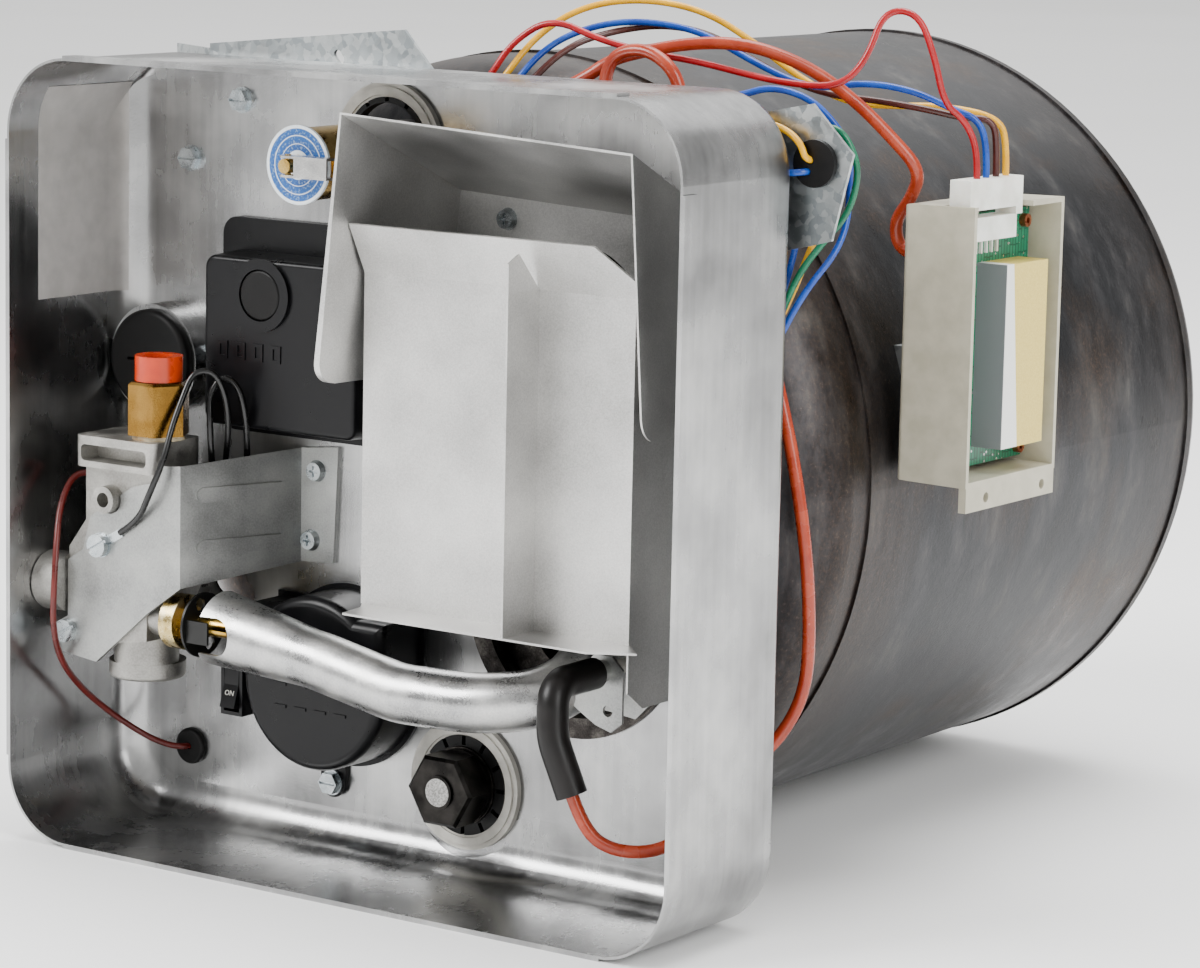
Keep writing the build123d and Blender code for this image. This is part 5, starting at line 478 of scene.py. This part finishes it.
RELAY_LEFT, RELAY_FOOT, RELAY_TOP = 171, 176, 247  # the relay's near side, its lower and its upper end
SIDE_SKIN = 0.3  # how far in from the near side its grey is drawn
WEDGE_FOOT, WEDGE_TOP = 12.5, 5.5  # the white wedge's width at either end


def relay_cover():
    """The relay's case: grey on its narrow side, a white wedge at the corner, pale yellow on its face."""
    made, tree, shader, place = start("relay_case", Roughness=0.42)
    width = spread(tree, axis(tree, place, "Z"), WEDGE_FOOT * MM, WEDGE_TOP * MM, RELAY_FOOT * MM,
                   RELAY_TOP * MM)
    across = axis(tree, place, "Y")
    inset = sums(tree, "SUBTRACT", sums(tree, "SUBTRACT", across, RELAY_LEFT * MM), width)
    grain = noise(tree, place, 0.6, 2.0)
    yellow = shades(tree, grain, [(0.35, "#d2ba5c"), (0.65, "#ddc86e")])
    face = blend(tree, sums(tree, "LESS_THAN", inset, 0.0), yellow, tint("#e9e9e4"))
    side_on = sums(tree, "LESS_THAN", across, (RELAY_LEFT + SIDE_SKIN) * MM)
    tree.links.new(blend(tree, side_on, face, tint("#74787a")), shader.inputs["Base Color"])
    relief(tree, shader, (grain, 0.015))
    return made


PLUG_X, PLUG_Z = 17, 36  # the middle of the drain plug
SPOT_R, SPOT_BACK = 5.6, 53.5  # the turned spot's radius, and how far back it reaches


def hex_plug():
    """The drain plug: black oxide steel, and a bright turned spot in the middle of its head."""
    made, tree, shader, place = start("black_oxide_plug", Metallic=1.0)
    turned = noise(tree, place, 0.7, 3.0)
    patch = noise(tree, place, 7, 4.0)
    black = shades(tree, patch, [(0.35, "#1d1c1b"), (0.65, "#343230")])
    bright = shades(tree, turned, [(0.35, "#7c7b79"), (0.65, "#b3b2af")])
    inside = sums(tree, "LESS_THAN", off_axis(tree, place, PLUG_X, PLUG_Z), SPOT_R * MM)
    in_front = sums(tree, "LESS_THAN", axis(tree, place, "Y"), SPOT_BACK * MM)
    spot = sums(tree, "MULTIPLY", inside, in_front)
    tree.links.new(blend(tree, spot, black, bright), shader.inputs["Base Color"])
    tree.links.new(spread(tree, patch, 0.26, 0.42), shader.inputs["Roughness"])
    relief(tree, shader, (turned, 0.03))
    return made


def lacquered_board():
    """The circuit board: green lacquer over darker gaps between its tracks, with bright dots of solder."""
    made, tree, shader, place = start("board_lacquer_green", Roughness=0.26)
    turned = add(tree, "ShaderNodeMapping", {}, {"Vector": place, "Rotation": (0.0, math.radians(90), 0.0)})
    tracks = add(tree, "ShaderNodeTexBrick", {"offset": 0.37, "squash_frequency": 3, "squash": 0.6}, {
        "Vector": turned.outputs["Vector"], "Scale": size(1), "Mortar Size": 0.35, "Mortar Smooth": 0.1,
        "Bias": 0.0, "Brick Width": 9.0, "Row Height": 2.2, "Color1": tint("#0f6b4c"),
        "Color2": tint("#137a58"), "Mortar": tint("#0b4c38"),
    })
    pins = add(tree, "ShaderNodeTexVoronoi", {}, {"Vector": place, "Scale": size(3.1), "Randomness": 0.75})
    dots = sums(tree, "LESS_THAN", pins.outputs["Distance"], 0.17)
    tree.links.new(blend(tree, dots, tracks.outputs["Color"], tint("#dadcda")), shader.inputs["Base Color"])
    tree.links.new(dots, shader.inputs["Metallic"])
    relief(tree, shader, (dots, 0.25))
    return made


finishes = {
    drawn_steel: ["front_pan"],
    folded_steel: ["exhaust_hood", "baffle_plate"],
    tube_steel: ["burner_tube"],
    galvanised: ["pan_bracket", "wire_bracket", "case_carrier"],
    satin_zinc: ["valve_bracket", "tube_clips"],
    zinc_plate: ["pan_screws", "valve_bolts"],
    cast_alloy: ["valve_body"],
    turned_brass: ["relief_body", "relief_stem"],
    rough_brass: ["gas_inlet"],
    bright_brass: ["gas_orifice"],
    gilt: ["nozzle_ring"],
    stainless: ["relief_lever", "heating_element", "water_fittings"],
    copper: ["board_posts"],
    oxide_steel: ["head_spuds", "fire_tube", "anode_rod"],
    hex_plug(): ["drain_plug"],
    tank_steel: ["tank_shell", "tank_heads"],
    black_nylon: ["limit_cover", "element_cover", "switch_housing", "switch_rocker", "limit_switch",
                  "reset_pin"],
    black_rubber: ["air_plug", "lead_grommets", "opening_seals", "reset_dome"],
    boot_rubber: ["igniter_boot"],
    shutter_black: ["air_shutter"],
    case_plastic: ["board_case"],
    white_nylon: ["harness_plug", "board_header"],
    seal_grey: ["opening_bezels"],
    orange_cap: ["inlet_cap"],
    porcelain: ["igniter_rod"],
    printed_disc(): ["relief_disc"],
    sealant: ["inlet_sealant"],
    lacquered_board(): ["circuit_board"],
    relay_cover(): ["relay_block"],
    silver_paper: ["pan_label"],
}
for finish, names in finishes.items():
    for name in names:
        for holder in nodes[name].material_slots:
            holder.material = finish


# Wire insulation, PVC: smooth and even, with a clear gloss. The earth wire at the valve has aged in the
# heat, so that it is darker and a little duller.
insulation = {
    "red_wire": ("#8e0a11", "#a31019"), "yellow_wire": ("#d49a00", "#e6ac08"),
    "blue_wire": ("#06358c", "#0d459f"), "brown_wire": ("#3a150e", "#4a1d14"),
    "orange_wire": ("#8e2a12", "#a13a1e"), "green_wire": ("#03573a", "#0a6a49"),
    "black_wire": ("#060606", "#0d0d0d"),
}
coats = {slot: moulded(slot, pair, 0.8, (0.2, 0.32), 0.01) for slot, pair in insulation.items()}
coats["aged_red_wire"] = moulded("aged_red_wire", ("#4e100c", "#611711"), 0.8, (0.24, 0.36), 0.01)
for name, (piece, slot) in wires.items():
    piece.data.materials.append(coats["aged_red_wire" if name == "valve_earth_wire" else slot])


# Solder joints: rows of small domes on the board's face, left and right of the relay.

BOARD_FACE = 181.6  # the board's face, which the domes' middles lie in
DOME_R = 0.62
FLATTENED = 0.6  # a dome's height as a share of its radius
LEFT_OUT = 0.3  # the share of the joints that a block lacks
STRAY = 0.5 * MM  # how far a joint may stand off its row

# Each block of joints: name, width, height, columns, rows, seed, and where its middle is in y and z.
blocks = [
    ("solder_left", 14.0, 62.0, 5, 18, 4, 161.5, 211.0),
    ("solder_right", 3.6, 66.0, 2, 18, 9, 206.4, 212.0),
]


def solder_tree():
    """A tree that lays a jittered grid of flattened domes, leaves some out, and stands it on the board."""
    tree = bpy.data.node_groups.new("solder_rows", "GeometryNodeTree")
    for name, kind in (("width", "FLOAT"), ("height", "FLOAT"), ("columns", "INT"), ("rows", "INT"),
                       ("dome radius", "FLOAT"), ("share left out", "FLOAT"), ("seed", "INT"),
                       ("middle", "VECTOR")):
        tree.interface.new_socket(name, in_out="INPUT", socket_type=f"NodeSocket{kind.title()}")
    tree.interface.new_socket("mesh", in_out="OUTPUT", socket_type="NodeSocketGeometry")
    given = tree.nodes.new("NodeGroupInput").outputs
    grid = add(tree, "GeometryNodeMeshGrid", {}, {
        "Size X": given["height"], "Size Y": given["width"],
        "Vertices X": given["rows"], "Vertices Y": given["columns"],
    })
    chance = add(tree, "FunctionNodeRandomValue", {"data_type": "FLOAT"}, {"Seed": given["seed"]})
    out = add(tree, "FunctionNodeCompare", {"data_type": "FLOAT", "operation": "LESS_THAN"},
              {0: chance.outputs[1], 1: given["share left out"]})
    left = add(tree, "GeometryNodeDeleteGeometry", {"domain": "POINT"},
               {"Geometry": grid.outputs["Mesh"], "Selection": out.outputs["Result"]})
    drift = add(tree, "FunctionNodeRandomValue", {"data_type": "FLOAT_VECTOR"},
                {0: (-STRAY, -STRAY, 0.0), 1: (STRAY, STRAY, 0.0), "Seed": given["seed"]})
    loose = add(tree, "GeometryNodeSetPosition", {},
                {"Geometry": left.outputs["Geometry"], "Offset": drift.outputs[0]})
    dome = add(tree, "GeometryNodeMeshIcoSphere", {}, {"Radius": given["dome radius"], "Subdivisions": 2})
    domes = add(tree, "GeometryNodeInstanceOnPoints", {}, {
        "Points": loose.outputs["Geometry"], "Instance": dome.outputs["Mesh"],
        "Scale": (1.0, 1.0, FLATTENED),
    })
    stood = add(tree, "GeometryNodeTransform", {}, {
        "Geometry": domes.outputs["Instances"], "Translation": given["middle"],
        "Rotation": (0.0, math.radians(90), 0.0),
    })
    real = add(tree, "GeometryNodeRealizeInstances", {}, {"Geometry": stood.outputs["Geometry"]})
    coated = add(tree, "GeometryNodeSetMaterial", {},
                 {"Geometry": real.outputs["Geometry"], "Material": solder})
    add(tree, "NodeGroupOutput", {}, {"mesh": coated.outputs["Geometry"]})
    return tree


def kept_mesh(maker, name, place=Matrix()):
    """The finished mesh of an object, moved to its place, as a plain piece at the origin."""
    made = bpy.data.meshes.new_from_object(maker.evaluated_get(bpy.context.evaluated_depsgraph_get()))
    made.transform(place)
    made.name = name
    bpy.data.objects.remove(maker)
    piece = bpy.data.objects.new(name, made)
    bpy.context.collection.objects.link(piece)
    return piece


solder_rows = solder_tree()
for name, span, height, columns, rows, seed, across, up_by in blocks:
    blank = bpy.data.objects.new(name, bpy.data.meshes.new(name))
    bpy.context.collection.objects.link(blank)
    maker = blank.modifiers.new("rows", "NODES")
    maker.node_group = solder_rows
    wanted = {
        "width": span * MM, "height": height * MM, "columns": columns, "rows": rows,
        "dome radius": DOME_R * MM, "share left out": LEFT_OUT, "seed": seed,
        "middle": (BOARD_FACE * MM, across * MM, up_by * MM),
    }
    for socket in solder_rows.interface.items_tree:
        if socket.name in wanted:
            maker[socket.identifier] = wanted[socket.name]
    dots = kept_mesh(blank, name + "_rows")
    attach(dots, BODY)


# The rocker's print: raised white letters on its lower half, which leans out from the top.

LEAN = math.radians(17.8)
PRINT_AT = Vector((-87.05, 50.75, 61.2)) * MM
PRINT_OFF = 0.03 * MM  # the letters' middle stands this far off the face, so that they grip it

letters = bpy.data.curves.new("rocker_print", "FONT")
letters.body = "ON"
letters.align_x, letters.align_y = "CENTER", "CENTER"
letters.size = 3.0 * MM
letters.extrude = 0.05 * MM
letters.resolution_u = 3
print_maker = bpy.data.objects.new("rocker_print", letters)
bpy.context.collection.objects.link(print_maker)
out_of_face = Vector((0.0, -math.cos(LEAN), math.sin(LEAN)))
up_the_face = Vector((0.0, math.sin(LEAN), math.cos(LEAN)))
turn = Matrix((Vector((1, 0, 0)), up_the_face, out_of_face)).transposed().to_4x4()
on_print = kept_mesh(print_maker, "rocker_letters",
                     Matrix.Translation(PRINT_AT + out_of_face * PRINT_OFF) @ turn)
on_print.data.materials.clear()
on_print.data.materials.append(white_nylon)
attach(on_print, "rocker")


# Studio: a plain pale floor, a large soft light in front, softer ones at the side and above, and a broad
# one that lights the floor behind.

def soft_light(name, place, aim, width, height, power):
    """A large soft light panel that looks at a point."""
    panel = bpy.data.lights.new(name, "AREA")
    panel.shape = "RECTANGLE"
    panel.size, panel.size_y = width, height
    panel.energy = power
    holder = bpy.data.objects.new(name, panel)
    holder.location = place
    holder.rotation_mode = "QUATERNION"
    holder.rotation_quaternion = (Vector(aim) - Vector(place)).to_track_quat("-Z", "Y")
    bpy.context.collection.objects.link(holder)


soft_light("key_panel", (-1.4, -1.9, 1.9), (0, 0.1, 0.15), 1.6, 1.2, 110)
soft_light("side_panel", (2.2, -0.4, 1.2), (0, 0.2, 0.15), 1.2, 1.6, 46)
soft_light("top_panel", (0.2, 0.5, 2.4), (0, 0.2, 0.15), 2.0, 1.4, 80)
soft_light("floor_panel", (-2.5, 4.5, 4.0), (-2.5, 4.51, 0.0), 8.0, 8.0, 220)

# Matt paint on a smooth floor: nearly white, drifting a little over a metre.
paint, tree, shader, place = start("pale_floor", Roughness=0.9)
pale = shades(tree, noise(tree, place, 900, 2.0), [(0.3, "#f6f6f5"), (0.7, "#fafafa")])
tree.links.new(pale, shader.inputs["Base Color"])
FLOOR_R = 30.0  # in metres: the floor runs out so far that no view shows its rim as an edge
ground = bmesh.new()
bmesh.ops.create_circle(ground, cap_ends=True, segments=96, radius=FLOOR_R)
sheet = bpy.data.meshes.new("floor")
ground.to_mesh(sheet)
ground.free()
sheet.materials.append(paint)
floor = bpy.data.objects.new("floor", sheet)
bpy.context.collection.objects.link(floor)

sky = bpy.data.worlds.new("studio")
bpy.context.scene.world = sky
sky.use_nodes = True
air = sky.node_tree.nodes["Background"].inputs
air["Color"].default_value = tint("#f5f5f4")
air["Strength"].default_value = 0.75
